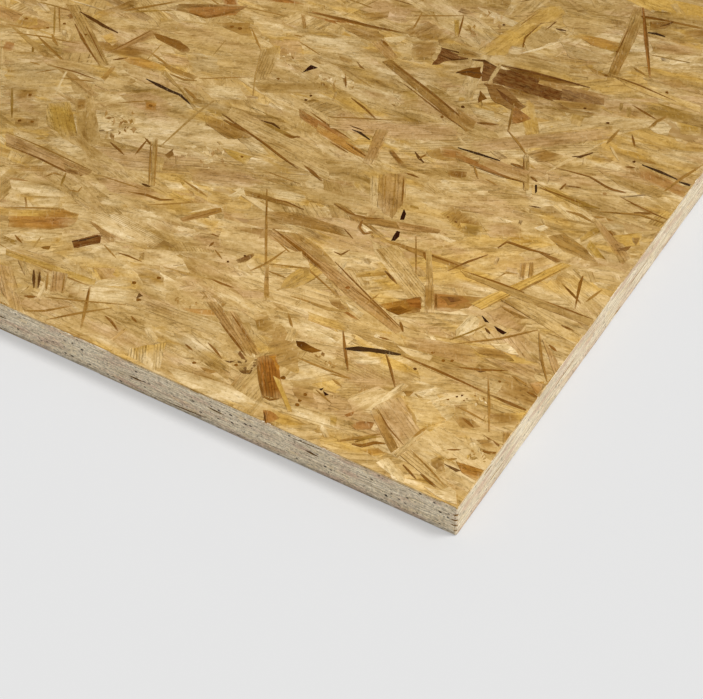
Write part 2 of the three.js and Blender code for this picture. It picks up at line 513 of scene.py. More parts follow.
def chips(low, high, count, seed, tones, size=(1.4, 4.0)):
    """A cluster of broken bits between two corner pixels; their lengths in millimetres."""
    rng = random.Random(seed)
    for _ in range(count):
        x, y = rng.uniform(low[0], high[0]), rng.uniform(low[1], high[1])
        turn = rng.uniform(0.0, math.pi)
        run = rng.uniform(*size) / (2 * MM_A_PIXEL)
        across = run * rng.uniform(*CHIP_WIDTHS)
        step = Vector((math.cos(turn), math.sin(turn))) * run
        side = Vector((-math.sin(turn), math.cos(turn))) * across
        middle = Vector((x, y))
        corners = [middle + step, middle + side, middle - step * rng.uniform(*CHIP_TAILS), middle - side]
        flake(rng.choice(tones), *((c.x, c.y) for c in corners), **CHIP_LOOK)


def broad(tone, *pixels):
    """A wide strand with soft sides, whose grain runs from the first pixel to the second."""
    stain(tone, *pixels, **BROAD_LOOK)


def broad_strands():
    broad(CREAM, (70, 286), (122, 276), (140, 292), (132, 302), (100, 303), (68, 298))
    broad(CREAM, (166, 366), (232, 386), (256, 403), (248, 410), (212, 398), (178, 382))
    broad(CREAM, (294, 319), (344, 334), (340, 347), (312, 340), (294, 332))
    broad(CREAM, (394, 394), (440, 388), (458, 400), (450, 420), (430, 432), (406, 420))
    broad(PALE, (346, 398), (378, 386), (392, 392), (380, 408), (352, 413))
    broad(DULL, (400, 347), (500, 369), (547, 387), (540, 397), (480, 385), (412, 362))
    broad(CREAM, (92, 212), (124, 222), (152, 242), (146, 250), (116, 236), (92, 222))
    broad(CREAM, (10, 180), (50, 186), (72, 196), (40, 199), (10, 196))
    broad(PALE, (14, 128), (44, 136), (52, 144), (30, 146), (14, 140))
    broad(CREAM, (286, 33), (320, 35), (350, 46), (342, 54), (306, 50), (286, 42))


def far_left():
    flake(TAN, (256, 1), (300, 4), (340, 14), (352, 22), (330, 20), (300, 13), (262, 8), crisp=0.4)
    flake(TAN, (160, 18), (250, 28), (256, 44), (262, 52), (254, 76), (200, 78), (162, 40), figure=0.6,
          pitch=1.3, crisp=0.2, hold=0.7)
    stain(BROWN, (164, 9), (206, 16), (238, 13), (240, 5), (180, 4), mottle=0.4, hold=0.85)
    stain(GREY, (6, 52), (60, 52), (74, 92), (6, 96))
    stain(UMBER, (14, 24), (24, 14), (36, 16), (38, 25), (20, 28))
    specks(BROWN, 2.0, (26, 19), (64, 24), (48, 28))
    stain(DULL, (40, 56), (110, 68), (104, 82), (95, 80), (48, 66))
    stain(PALE, (120, 62), (146, 70), (168, 86), (146, 84), (130, 76))
    stain(PINK, (118, 95), (150, 92), (172, 104), (168, 118), (130, 106))
    stain(ORANGE, (116, 56), (140, 58), (166, 66), (160, 74), (130, 64), hold=0.6)
    stain(GOLD, (100, 36), (112, 33), (120, 40), (112, 46))
    sliver(OLIVE, 1.4, (55, 6), (54, 36))
    sliver(UMBER, 1.0, (59, 6), (60, 32))
    sliver(UMBER, 1.8, (52, 34), (54, 40), (58, 46))
    sliver(UMBER, 1.3, (8, 32), (45, 37), (80, 44))
    sliver(UMBER, 1.3, (6, 24), (30, 29), (46, 28))
    stain(RUST, (4, 40), (14, 43), (16, 50), (4, 52))
    flake(DULL, (66, 4), (100, 68), (109, 65), (98, 42), (80, 6), figure=1.2, pitch=1.5, crisp=0.9)
    sliver(BROWN, 1.3, (75, 24), (84, 42), (100, 66))
    sliver(BROWN, 0.8, (86, 26), (104, 62))
    sliver(BROWN, 1.6, (78, 30), (82, 38), (86, 44))
    specks(BROWN, 1.8, (86, 35))
    sliver(DARK, 1.9, (80, 12), (92, 19), (104, 26), (118, 33))
    flake(CLAY, (108, 53), (150, 30), (157, 33), (152, 38), (126, 47), crisp=0.9, hold=1.0)
    sliver(BROWN, 1.2, (108, 53), (130, 42), (151, 31))
    flake(BROWN, (152, 33), (180, 41), (190, 50), (187, 54), (181, 52), (168, 45), (157, 39),
          run=(38, 17), mottle=0.15, crisp=0.95, hold=0.95)
    sliver(DULL, 0.9, (163, 43), (147, 60))
    sliver(BROWN, 1.2, (48, 65), (75, 72), (100, 81))
    flake(UMBER, (116, 67), (105, 81), (101, 78), (112, 65), crisp=0.8)
    sliver(UMBER, 1.0, (36, 73), (58, 69))
    sliver(UMBER, 1.4, (30, 62), (40, 65))
    sliver(BROWN, 1.5, (113, 60), (128, 58))
    sliver(UMBER, 1.4, (150, 52), (170, 67))
    sliver(UMBER, 1.6, (60, 78), (96, 82))
    sliver(BLACK, 1.9, (146, 79), (158, 85), (170, 91), (180, 95), (192, 106))
    stain(UMBER, (14, 90), (38, 89), (37, 101), (16, 101), hold=0.9)
    specks(BROWN, 2.2, (30, 95))
    sliver(OLIVE, 1.5, (12, 88), (12, 118))
    flake(UMBER, (14, 118), (40, 119), (38, 127), (15, 126), mottle=0.4, crisp=0.5)
    specks(BROWN, 2.0, (20, 121), (32, 122))
    flake(YELLOW, (47, 104), (70, 101), (78, 136), (64, 138), (46, 124), run=(10, 37), figure=0.5,
          crisp=0.4)
    flake(DULL, (75, 97), (93, 96), (101, 142), (88, 147), (78, 144), run=(6, 48), figure=0.2, crisp=0.6)
    stain(UMBER, (76, 97), (84, 97), (86, 112), (78, 112), hold=0.9)
    chips((101, 113), (139, 137), 46, 5, (CREAM, UMBER, CLAY, PALE, BROWN, DULL), (1.2, 4.0))
    stain(ORANGE, (144, 100), (158, 101), (157, 112), (144, 112), hold=0.9)
    specks(BROWN, 2.6, (151, 106))
    sliver(UMBER, 1.4, (118, 103), (150, 101))
    stain(PINK, (160, 52), (185, 56), (196, 68), (170, 66))


def far_middle():
    flake(RUST, (182, 8), (248, 6), (236, 15), (206, 18), (192, 14), mottle=0.2)
    sliver(BROWN, 1.6, (186, 12), (206, 18), (222, 15), (240, 10))
    flake(UMBER, (216, 23), (250, 23), (252, 38), (240, 35), (226, 29), mottle=0.45, crisp=0.3)
    specks(BROWN, 2.4, (232, 27), (240, 29))
    sliver(DULL, 1.0, (226, 40), (212, 57))
    sliver(UMBER, 0.9, (252, 29), (261, 51))
    sliver(DULL, 1.0, (261, 51), (255, 78), (253, 96))
    stain(PALE, (250, 16), (284, 20), (284, 42), (262, 36), hold=0.6)
    stain(PINK, (266, 36), (300, 38), (306, 60), (284, 62))
    flake(DULL, (262, 50), (280, 46), (280, 58), (266, 80), (256, 80), run=(-14, 34), figure=1.2,
          pitch=1.3, crisp=0.6)
    chips((282, 54), (302, 66), 14, 8, (PALE, PINK, BROWN, CREAM), (1.0, 3.0))
    flake(UMBER, (301, 14), (303, 29), (306, 28), (305, 15), crisp=0.8)
    sliver(UMBER, 1.6, (294, 35), (302, 37))
    sliver(UMBER, 0.9, (298, 41), (320, 55))
    stain(CREAM, (306, 32), (350, 38), (376, 48), (350, 52), (304, 46))
    flake(BLACK, (302, 73), (318, 68), (311, 65), crisp=1.0, hold=1.0)
    stain(DULL, (248, 82), (322, 84), (334, 94), (262, 93), hold=0.95)
    flake(UMBER, (158, 62), (198, 77), (192, 81), (172, 72))
    sliver(UMBER, 1.6, (170, 74), (184, 80), (197, 81))
    sliver(UMBER, 0.9, (199, 79), (252, 77))
    stain(GREY, (184, 52), (216, 56), (222, 74), (196, 72))
    flake(OLIVE, (165, 70), (200, 112), (194, 110), (180, 90), (162, 74), crisp=0.8, hold=0.7)
    sliver(UMBER, 2.2, (184, 88), (197, 100))
    sliver(DULL, 1.6, (214, 101), (196, 114), (160, 147))
    stain(CREAM, (196, 84), (240, 88), (248, 100), (214, 100))
    flake(UMBER, (206, 114), (244, 132), (252, 137), (228, 139), (206, 124), (204, 116), figure=0.5,
          crisp=0.4)
    sliver(BROWN, 2.0, (224, 120), (236, 127), (249, 134))
    flake(TAN, (232, 107), (322, 150), (330, 182), (296, 166), (262, 143), (226, 116), figure=0.7,
          pitch=1.6, crisp=0.6, hold=0.7)
    sliver(BROWN, 1.2, (222, 114), (240, 127), (262, 142), (280, 156), (298, 169))
    flake(OLIVE, (247, 106), (282, 120), (276, 121), (262, 112), crisp=0.8)
    flake(OLIVE, (260, 121), (296, 137), (290, 139), (270, 128), crisp=0.8)
    sliver(DARK, 1.4, (261, 121), (273, 124), (280, 129))
    sliver(BROWN, 2.0, (284, 134), (292, 138), (300, 137))
    flake(RUST, (299, 109), (352, 139), (340, 142), (318, 130), (300, 118), figure=0.5, pitch=1.3,
          crisp=0.6)
    flake(ORANGE, (318, 124), (370, 156), (366, 160), (338, 146), (316, 133), figure=1.0, pitch=1.2,
          crisp=0.8)
    sliver(BROWN, 1.3, (310, 112), (332, 128), (352, 140))
    sliver(BROWN, 1.4, (346, 143), (368, 158))
    sliver(BROWN, 1.2, (330, 142), (348, 153))
    specks(DARK, 1.5, (306, 100), (311, 96))
    sliver(RUST, 3.0, (312, 12), (338, 19), (372, 27))
    sliver(BROWN, 2.0, (306, 12), (338, 18), (372, 27), (404, 33))
    flake(UMBER, (335, 22), (378, 30), (390, 45), (372, 42), (350, 32), crisp=0.3, hold=0.7)
    flake(CLAY, (370, 42), (390, 62), (398, 58), (384, 39))
    sliver(BROWN, 1.8, (381, 40), (389, 47))
    flake(CREAM, (384, 38), (408, 36), (400, 42), (390, 43))
    stain(UMBER, (398, 32), (424, 20), (460, 38), (448, 46), (430, 42))
    stain(UMBER, (412, 42), (438, 40), (432, 62), (414, 62))
    stain(PALE, (394, 46), (411, 44), (412, 60), (402, 60), hold=0.6)
    sliver(UMBER, 1.4, (422, 13), (414, 28), (408, 30))
    sliver(UMBER, 1.0, (415, 16), (463, 16))
    flake(YELLOW, (454, 20), (455, 37), (459, 36), (459, 20), crisp=0.6)
    sliver(BROWN, 1.0, (464, 15), (458, 38))
    stain(UMBER, (362, 14), (390, 10), (388, 18), (368, 22))
    flake(MAROON, (442, 48), (468, 59), (456, 60), (432, 65), (438, 56), second=CLAY, blend=0.2,
          figure=1.2, mottle=0.35, crisp=1.0, hold=1.0)
    sliver(DARK, 1.2, (441, 48), (456, 52), (474, 57))
    sliver(DARK, 1.3, (440, 55), (452, 60), (468, 59))
    flake(UMBER, (339, 56), (352, 60), (352, 65), (344, 63), crisp=0.3, hold=0.7)
    flake(BROWN, (356, 61), (366, 70), (360, 68))
    chips((316, 73), (354, 88), 24, 12, (CREAM, PALE, UMBER, DULL), (1.2, 4.2))
    sliver(BROWN, 1.2, (345, 77), (346, 88))
    sliver(CREAM, 1.0, (392, 62), (430, 92), (468, 122))
    flake(UMBER, (382, 62), (466, 132), (474, 128), (392, 60), figure=0.5, pitch=2.0, crisp=1.0)
    sliver(BROWN, 1.9, (390, 61), (430, 92), (474, 128))
    sliver(BROWN, 1.0, (404, 84), (440, 112), (462, 128))
    sliver(BROWN, 1.6, (351, 98), (364, 108), (377, 120))
    stain(YELLOW, (398, 92), (418, 90), (424, 104), (404, 110), hold=0.5)
    specks(DARK, 2.0, (463, 107))
    specks(BROWN, 1.8, (442, 117), (278, 79))
    chips((394, 97), (404, 108), 8, 3, (CREAM, UMBER, PALE), (1.0, 2.6))
    flake(PINK, (330, 118), (456, 124), (456, 140), (392, 140), (330, 128), figure=0.6, pitch=1.6,
          crisp=0.4)
    sliver(UMBER, 0.9, (328, 117), (352, 118), (400, 121))
    flake(PALE, (348, 130), (360, 136), (354, 142), (346, 136), hold=0.6)
    sliver(BLACK, 1.4, (352, 130), (360, 133), (370, 140))
    sliver(DARK, 1.1, (350, 126), (364, 131))


def far_right():
    chips((466, 12), (504, 36), 26, 21, (PINK, CREAM, UMBER, PALE, CLAY), (1.4, 4.5))
    specks(DARK, 1.8, (504, 25))
    flake(GOLD, (540, 8), (470, 56), (505, 56), (522, 44), (566, 14), (560, 6), figure=0.5, pitch=4.0,
          crisp=0.6, hold=0.75)
    sliver(UMBER, 1.0, (536, 14), (520, 26))
    sliver(BROWN, 1.2, (541, 24), (525, 38), (522, 52))
    flake(TAN, (542, 26), (560, 34), (556, 42), (524, 52), (526, 40))
    sliver(BROWN, 1.2, (540, 24), (556, 22), (545, 31))
    sliver(DARK, 1.4, (556, 29), (566, 31))
    sliver(CREAM, 1.8, (519, 54), (540, 49), (561, 41))
    sliver(PALE, 1.2, (560, 41), (572, 34), (574, 28))
    stain(CREAM, (512, 46), (526, 48), (518, 56), (508, 54))
    stain(TAN, (556, 8), (626, 22), (622, 34), (570, 32))
    stain(ORANGE, (572, 34), (600, 38), (628, 46), (616, 53), (596, 47), hold=0.6)
    flake(GREY, (560, 42), (612, 58), (606, 64), (570, 58), mottle=0.5, crisp=0.4)
    stain(UMBER, (586, 66), (604, 74), (622, 78), (600, 78))
    flake(BROWN, (457, 72), (470, 68), (481, 67), (480, 79), (468, 76), second=MAROON, blend=0.3,
          figure=1.2, mottle=0.3, crisp=1.0, hold=1.0)
    sliver(DARK, 1.6, (456, 73), (468, 72), (482, 74))
    flake(MAROON, (483, 61), (497, 67), (489, 81), (482, 81), run=(14, 5), second=CLAY, blend=0.2,
          figure=1.2, mottle=0.3, crisp=1.0, hold=1.0)
    sliver(DARK, 1.8, (472, 60), (484, 61), (496, 67))
    stain(UMBER, (462, 48), (482, 54), (476, 60), (458, 56))
    stain(BROWN, (560, 92), (602, 99), (604, 107), (588, 118), (562, 112), (550, 103), mottle=0.6,
          hold=0.9)
    stain(BROWN, (502, 84), (540, 96), (536, 101), (512, 97), mottle=0.4, hold=0.8)
    flake(MAROON, (500, 69), (533, 74), (551, 85), (568, 91), (573, 98), (558, 103), (537, 96),
          (515, 89), (493, 83), run=(60, 22), mottle=0.3, crisp=0.85, hold=1.0)
    flake(BROWN, (503, 67), (532, 71), (579, 86), (560, 85), (530, 77), mottle=0.15, crisp=0.85,
          hold=0.95)
    flake(CLAY, (540, 80), (612, 97), (606, 100), (560, 91), (538, 84), crisp=0.8)
    flake(MAROON, (562, 89), (604, 99), (603, 108), (584, 112), (558, 104), run=(38, 12), second=CLAY,
          blend=0.5, mottle=0.75, crisp=1.0)
    flake(UMBER, (552, 100), (606, 106), (600, 114), (570, 110), mottle=0.4, crisp=0.2)
    sliver(MAROON, 1.6, (498, 65), (530, 72), (560, 80), (590, 88))
    sliver(PALE, 2.3, (501, 64), (496, 72), (488, 84))
    specks(DARK, 1.8, (585, 109))
    specks(DARK, 2.2, (608, 123))
    flake(BROWN, (484, 84), (502, 86), (526, 107), (516, 112), (494, 102), second=CLAY, blend=0.4,
          figure=1.0, mottle=0.45, crisp=1.0, hold=0.9)
    flake(MAROON, (496, 89), (523, 107), (517, 109), (502, 98), second=BROWN, crisp=1.0, hold=0.95)
    flake(RUST, (514, 106), (531, 119), (512, 124), crisp=0.8)
    flake(BROWN, (480, 91), (487, 99), (478, 103), crisp=1.0, hold=0.95)
    flake(UMBER, (456, 108), (476, 122), (472, 132), (460, 124))
    sliver(BROWN, 2.0, (477, 123), (486, 124), (499, 125))
    stain(CREAM, (470, 106), (494, 112), (496, 120), (478, 118))
    flake(PINK, (500, 138), (612, 126), (618, 138), (540, 148), (470, 152), (474, 140), figure=0.6,
          pitch=2.6, crisp=0.3, hold=0.8)
    sliver(UMBER, 1.4, (514, 104), (511, 118), (508, 132))
    sliver(UMBER, 1.4, (508, 131), (518, 143), (527, 156))
    flake(DULL, (524, 155), (524, 191), (529, 191), (529, 156), figure=0.3, crisp=0.8)
    sliver(BROWN, 0.7, (524, 158), (524, 190))
    flake(DULL, (634, 8), (607, 77), (616, 78), (626, 58), (640, 30), (642, 8), second=UMBER, figure=1.1,
          pitch=1.4, mottle=0.3, crisp=0.6)
    sliver(BROWN, 1.0, (630, 26), (614, 60))
    sliver(RUST, 2.2, (643, 8), (646, 40), (650, 78))
    sliver(BROWN, 1.1, (644, 12), (647, 40), (650, 76))
    flake(BROWN, (650, 22), (672, 23), (664, 29), (650, 30), mottle=0.3)
    sliver(DARK, 1.6, (660, 27), (668, 25), (673, 22))
    sliver(BLACK, 2.0, (648, 33), (656, 34), (665, 37))
    stain(PINK, (650, 42), (700, 46), (702, 56), (652, 54))
    sliver(DULL, 1.1, (650, 55), (690, 63))
    stain(UMBER, (650, 78), (680, 80), (696, 92), (674, 88))
    flake(GOLD, (610, 74), (700, 106), (700, 113), (660, 100), (630, 88), crisp=0.4, hold=0.5)
    sliver(BROWN, 1.2, (612, 76), (640, 86), (676, 102))
    sliver(OLIVE, 1.6, (658, 104), (670, 108), (682, 113))
    sliver(UMBER, 1.2, (634, 68), (646, 76))
    specks(BROWN, 1.8, (617, 52), (667, 93), (606, 76))
    sliver(BROWN, 1.4, (632, 105), (645, 113), (657, 120))
    sliver(UMBER, 2.4, (649, 128), (658, 121), (668, 116))
    flake(DULL, (624, 103), (622, 112), (618, 109), (620, 103), crisp=0.8)
    flake(DULL, (631, 108), (630, 118), (626, 116), (627, 107), crisp=0.8)
    flake(CREAM, (650, 129), (662, 121), (672, 127), (668, 136), (658, 134), run=(22, 0))
    stain(YELLOW, (674, 118), (700, 118), (700, 136), (680, 134))
    flake(RUST, (640, 166), (690, 190), (684, 198), (668, 191), (640, 178), mottle=0.3, crisp=0.6,
          hold=0.7)
    sliver(BLACK, 1.7, (642, 165), (660, 172), (678, 180))
    sliver(BLACK, 1.9, (679, 182), (694, 187))
    sliver(UMBER, 1.6, (703, 165), (682, 178), (656, 198))


def middle_left():
    stain(CREAM, (34, 138), (60, 136), (82, 150), (86, 162), (60, 150))
    stain(CREAM, (28, 196), (60, 197), (62, 208), (34, 208))
    stain(CREAM, (20, 231), (62, 233), (58, 243), (24, 243))
    stain(CREAM, (96, 196), (120, 200), (128, 208), (104, 206))
    stain(UMBER, (6, 164), (45, 164), (62, 172), (20, 174))
    stain(PINK, (92, 174), (110, 176), (146, 187), (168, 197), (150, 203), (110, 192), hold=0.9)
    flake(PINK, (6, 133), (92, 172), (88, 175), (78, 176), (6, 146), second=CLAY, figure=1.1, pitch=1.5,
          mottle=0.3, crisp=0.9)
    sliver(BROWN, 1.2, (6, 145), (40, 159), (64, 171), (82, 176))
    sliver(UMBER, 1.0, (6, 132), (46, 149), (92, 171))
    stain(BROWN, (64, 166), (78, 170), (80, 177), (66, 172))
    flake(DULL, (74, 138), (90, 160), (98, 156), (84, 138), figure=0.3, crisp=0.6)
    sliver(BROWN, 1.4, (110, 142), (118, 149), (124, 155))
    sliver(BROWN, 1.3, (135, 155), (148, 139))
    sliver(BROWN, 1.3, (145, 138), (152, 146))
    flake(DULL, (153, 138), (151, 186), (154, 186), (157, 160), (157, 138), figure=0.5)
    sliver(UMBER, 0.9, (151, 142), (149, 186))
    sliver(UMBER, 0.9, (157, 140), (154, 186))
    sliver(BROWN, 1.9, (128, 192), (146, 195), (160, 200), (174, 200))
    sliver(UMBER, 1.3, (148, 205), (176, 204), (197, 202))
    sliver(DARK, 1.4, (142, 184), (150, 187))
    sliver(UMBER, 1.0, (98, 175), (126, 184), (144, 190))
    sliver(UMBER, 1.8, (45, 177), (54, 173), (63, 176))
    sliver(OLIVE, 1.5, (61, 186), (63, 180), (66, 173))
    sliver(UMBER, 1.4, (68, 190), (78, 192), (82, 187))
    sliver(CLAY, 1.6, (6, 178), (28, 181))
    flake(GOLD, (8, 210), (62, 209), (79, 214), (77, 219), (8, 219), second=ORANGE, crisp=0.6)
    flake(ORANGE, (8, 216), (78, 218), (76, 222), (68, 227), (50, 230), (8, 227), second=RUST,
          mottle=0.2, crisp=0.5)
    sliver(UMBER, 1.4, (4, 208), (36, 208), (64, 209))
    flake(PALE, (88, 214), (122, 214), (164, 240), (154, 249), run=(64, 34), figure=1.2, pitch=1.0,
          crisp=0.3)
    flake(CLAY, (90, 221), (118, 239), (108, 243), crisp=0.6)
    flake(MAROON, (72, 241), (97, 235), (101, 236), (100, 243), (78, 248), (74, 248), mottle=0.25,
          crisp=1.0, hold=1.0)
    sliver(BLACK, 0.9, (72, 242), (84, 240), (100, 236))
    sliver(PALE, 1.5, (70, 240), (84, 237), (99, 232))
    flake(BROWN, (40, 247), (51, 246), (49, 250), (43, 249), crisp=0.6)
    sliver(BROWN, 1.3, (15, 235), (18, 239), (22, 243))
    sliver(DULL, 1.2, (33, 248), (41, 237))
    flake(BROWN, (165, 155), (174, 148), (174, 155), (168, 159), mottle=0.2)
    sliver(UMBER, 1.2, (104, 245), (116, 258))
    sliver(BROWN, 1.2, (118, 253), (128, 256), (142, 262))
    stain(UMBER, (130, 262), (160, 266), (166, 290), (144, 286), hold=0.4)
    flake(YELLOW, (6, 249), (96, 280), (94, 288), (70, 278), (6, 255), figure=0.5, crisp=0.5, hold=0.75)
    sliver(UMBER, 1.0, (30, 262), (66, 277), (94, 288))
    stain(CREAM, (80, 284), (136, 288), (134, 303), (98, 303), (74, 299), hold=0.95)
    flake(BROWN, (34, 268), (33, 288), (38, 289), (41, 270), mottle=0.4, crisp=0.6, hold=0.4)
    sliver(DARK, 1.3, (34, 270), (34, 288))
    sliver(DARK, 1.1, (40, 272), (38, 288))
    flake(CLAY, (52, 271), (50, 292), (64, 293), (68, 274), figure=1.2, pitch=1.6, crisp=0.5)
    sliver(UMBER, 1.2, (48, 272), (46, 291))
    sliver(UMBER, 1.2, (65, 274), (62, 293))
    sliver(BROWN, 2.0, (24, 296), (30, 297), (37, 297))
    sliver(UMBER, 2.2, (90, 287), (86, 306), (81, 328))
    sliver(BROWN, 1.0, (89, 288), (86, 306))
    sliver(UMBER, 1.0, (44, 297), (80, 301), (126, 305))
    sliver(UMBER, 1.8, (24, 311), (45, 311), (72, 306))
    sliver(UMBER, 1.5, (46, 320), (75, 314), (112, 308))
    flake(DARK, (136, 299), (143, 296), (139, 293), crisp=0.9)
    flake(PALE, (130, 348), (166, 343), (160, 368), (154, 371), (144, 364), (125, 355), run=(2, -20),
          second=GOLD, figure=1.1, pitch=1.3, crisp=0.6)
    specks(BROWN, 2.2, (139, 300), (134, 283), (159, 278))
    sliver(BROWN, 1.6, (105, 316), (111, 321), (118, 331))
    sliver(BROWN, 1.2, (131, 316), (137, 323))
    flake(CLAY, (181, 218), (216, 208), (224, 210), (200, 216), (184, 221), crisp=0.9)
    flake(CLAY, (180, 219), (200, 212), (221, 208), (222, 212), (202, 218), (183, 222), second=UMBER,
          mottle=0.3, crisp=1.0, hold=1.0)
    sliver(BROWN, 0.9, (182, 221), (200, 216), (220, 211))
    sliver(CREAM, 1.2, (188, 213), (214, 208))
    sliver(UMBER, 1.5, (183, 180), (196, 189), (208, 197))
    stain(GOLD, (190, 178), (214, 184), (214, 194), (200, 190))
    stain(CREAM, (164, 180), (180, 182), (190, 194), (170, 190))
    chips((186, 144), (226, 168), 20, 33, (CREAM, PALE, CLAY, PALE), (1.2, 4.0))
    flake(CREAM, (228, 196), (244, 188), (245, 192), (238, 198), crisp=0.6)
    sliver(BROWN, 1.2, (209, 233), (219, 237))
    sliver(BROWN, 1.4, (209, 247), (214, 242))
    sliver(UMBER, 1.2, (215, 250), (222, 259))
    stain(UMBER, (194, 226), (214, 228), (212, 234), (196, 232), hold=0.5)


def middle_middle():
    flake(YELLOW, (220, 147), (252, 157), (246, 166), (236, 160), crisp=0.3)
    specks(BROWN, 1.8, (242, 157))
    stain(CREAM, (236, 136), (258, 144), (276, 160), (252, 154))
    sliver(DULL, 0.9, (218, 158), (262, 178), (304, 192))
    sliver(UMBER, 0.9, (262, 170), (300, 184))
    sliver(BROWN, 2.0, (304, 166), (312, 172), (322, 181))
    stain(PINK, (186, 166), (240, 172), (266, 184), (230, 190), (194, 184))
    stain(CREAM, (270, 188), (306, 194), (308, 206), (276, 199), hold=0.9)
    flake(UMBER, (244, 190), (268, 196), (304, 209), (286, 206), (262, 199), (246, 196))
    sliver(BROWN, 1.1, (266, 198), (286, 202), (304, 210))
    specks(BROWN, 1.8, (259, 197))
    flake(UMBER, (266, 211), (300, 213), (345, 229), (352, 238), (300, 226), (266, 222), run=(84, 22),
          figure=0.6, crisp=0.3)
    sliver(UMBER, 1.5, (267, 189), (266, 240), (266, 301))
    flake(UMBER, (265, 264), (264, 298), (269, 298), (269, 264), crisp=0.5)
    flake(CLAY, (272, 230), (300, 240), (325, 260), (372, 300), (404, 330), (396, 334), (352, 301),
          (322, 272), (298, 253), (270, 238), run=(110, 84), figure=1.2, pitch=1.5, crisp=0.6)
    sliver(BROWN, 1.9, (273, 229), (300, 250), (330, 276))
    sliver(BROWN, 1.1, (335, 262), (372, 300), (401, 328))
    sliver(BROWN, 1.0, (350, 286), (376, 306), (398, 328))
    sliver(UMBER, 1.0, (274, 238), (300, 262), (340, 298))
    flake(UMBER, (284, 232), (322, 262), (336, 266), (322, 248), (300, 234), figure=1.3, pitch=1.3,
          crisp=0.4, hold=0.7)
    flake(PALE, (284, 252), (302, 252), (310, 268), (272, 266), crisp=0.5)
    sliver(UMBER, 1.5, (250, 271), (266, 264), (286, 250))
    sliver(UMBER, 1.0, (268, 264), (310, 269))
    sliver(UMBER, 1.0, (268, 271), (286, 278))
    stain(OLIVE, (304, 268), (309, 268), (311, 275), (304, 277))
    flake(MAROON, (236, 260), (254, 253), (254, 256), (246, 262), (238, 263), mottle=0.3, crisp=0.8)
    specks(DARK, 1.6, (228, 262), (245, 256))
    sliver(DULL, 1.5, (163, 267), (190, 275), (214, 280))
    sliver(BROWN, 1.6, (211, 279), (222, 284), (234, 288))
    stain(PINK, (232, 288), (268, 291), (274, 302), (244, 300))
    sliver(UMBER, 1.2, (290, 296), (322, 306))
    flake(ORANGE, (180, 308), (224, 311), (218, 317), (205, 316), (190, 312), crisp=0.4, hold=0.7)
    chips((176, 296), (226, 308), 16, 44, (UMBER, PALE, DULL), (1.4, 4.0))
    flake(CLAY, (206, 302), (240, 350), (250, 352), (232, 318), (216, 302), figure=1.3, pitch=1.2,
          crisp=0.5)
    flake(CLAY, (224, 312), (250, 356), (260, 354), (236, 312), figure=1.2, pitch=1.3, hold=0.8)
    sliver(BROWN, 1.3, (220, 322), (234, 340), (246, 356))
    sliver(BROWN, 1.0, (230, 312), (252, 344))
    flake(MAROON, (240, 351), (246, 360), (242, 359), (238, 354), crisp=0.9)
    sliver(BROWN, 1.3, (208, 343), (215, 350), (222, 359))
    sliver(BROWN, 1.4, (185, 344), (193, 351))
    flake(UMBER, (200, 367), (218, 372), (206, 373))
    specks(BROWN, 1.8, (194, 363), (236, 365))
    flake(DARK, (225, 361), (235, 361), (230, 363), crisp=1.0)
    flake(DARK, (239, 371), (253, 370), (250, 374), (243, 374), crisp=1.0)
    chips((234, 352), (256, 372), 14, 51, (BROWN, CREAM, PINK, DARK), (1.0, 2.8))
    stain(UMBER, (262, 328), (280, 324), (302, 348), (298, 374), (278, 366), (268, 350), mottle=0.6,
          hold=0.7)
    sliver(UMBER, 1.4, (288, 313), (293, 331))
    stain(PALE, (291, 326), (285, 340), (292, 342), (298, 334), hold=0.5)
    flake(DARK, (296, 341), (304, 342), (322, 351), (312, 353), (302, 350), (297, 346), second=BROWN,
          crisp=1.0, hold=1.0)
    flake(CREAM, (298, 319), (308, 320), (330, 329), (342, 337), (337, 342), (322, 333), (302, 325),
          run=(44, 18), crisp=0.5, hold=0.6)
    sliver(UMBER, 1.2, (298, 358), (312, 364), (352, 379))
    flake(RUST, (257, 358), (262, 396), (276, 399), (284, 398), (276, 354), second=BROWN, blend=0.4,
          figure=1.6, pitch=1.3, crisp=0.9, hold=1.0)
    sliver(BROWN, 1.8, (257, 360), (260, 380), (263, 398))
    sliver(BROWN, 1.0, (262, 358), (266, 380), (270, 398))
    sliver(BROWN, 1.2, (262, 396), (270, 400), (279, 399))
    flake(YELLOW, (273, 376), (288, 412), (292, 412), (280, 380), hold=0.9)
    flake(RUST, (263, 410), (265, 423), (272, 422), (279, 418), (270, 411), figure=1.3, pitch=1.4,
          crisp=0.8)
    sliver(DARK, 0.9, (264, 412), (266, 423))
    flake(RUST, (330, 298), (360, 321), (352, 318), (340, 310), (334, 306), mottle=0.2)
    specks(RUST, 2.4, (348, 288))
    flake(CREAM, (346, 302), (364, 314), (360, 319), (350, 309))
    flake(GOLD, (308, 312), (352, 326), (345, 331), (325, 327), (308, 321), figure=0.6, crisp=0.5,
          hold=0.7)
    sliver(UMBER, 0.9, (364, 306), (379, 294))
    sliver(DULL, 2.6, (308, 302), (328, 309), (346, 312))
    sliver(BROWN, 1.2, (334, 252), (341, 255), (350, 250))


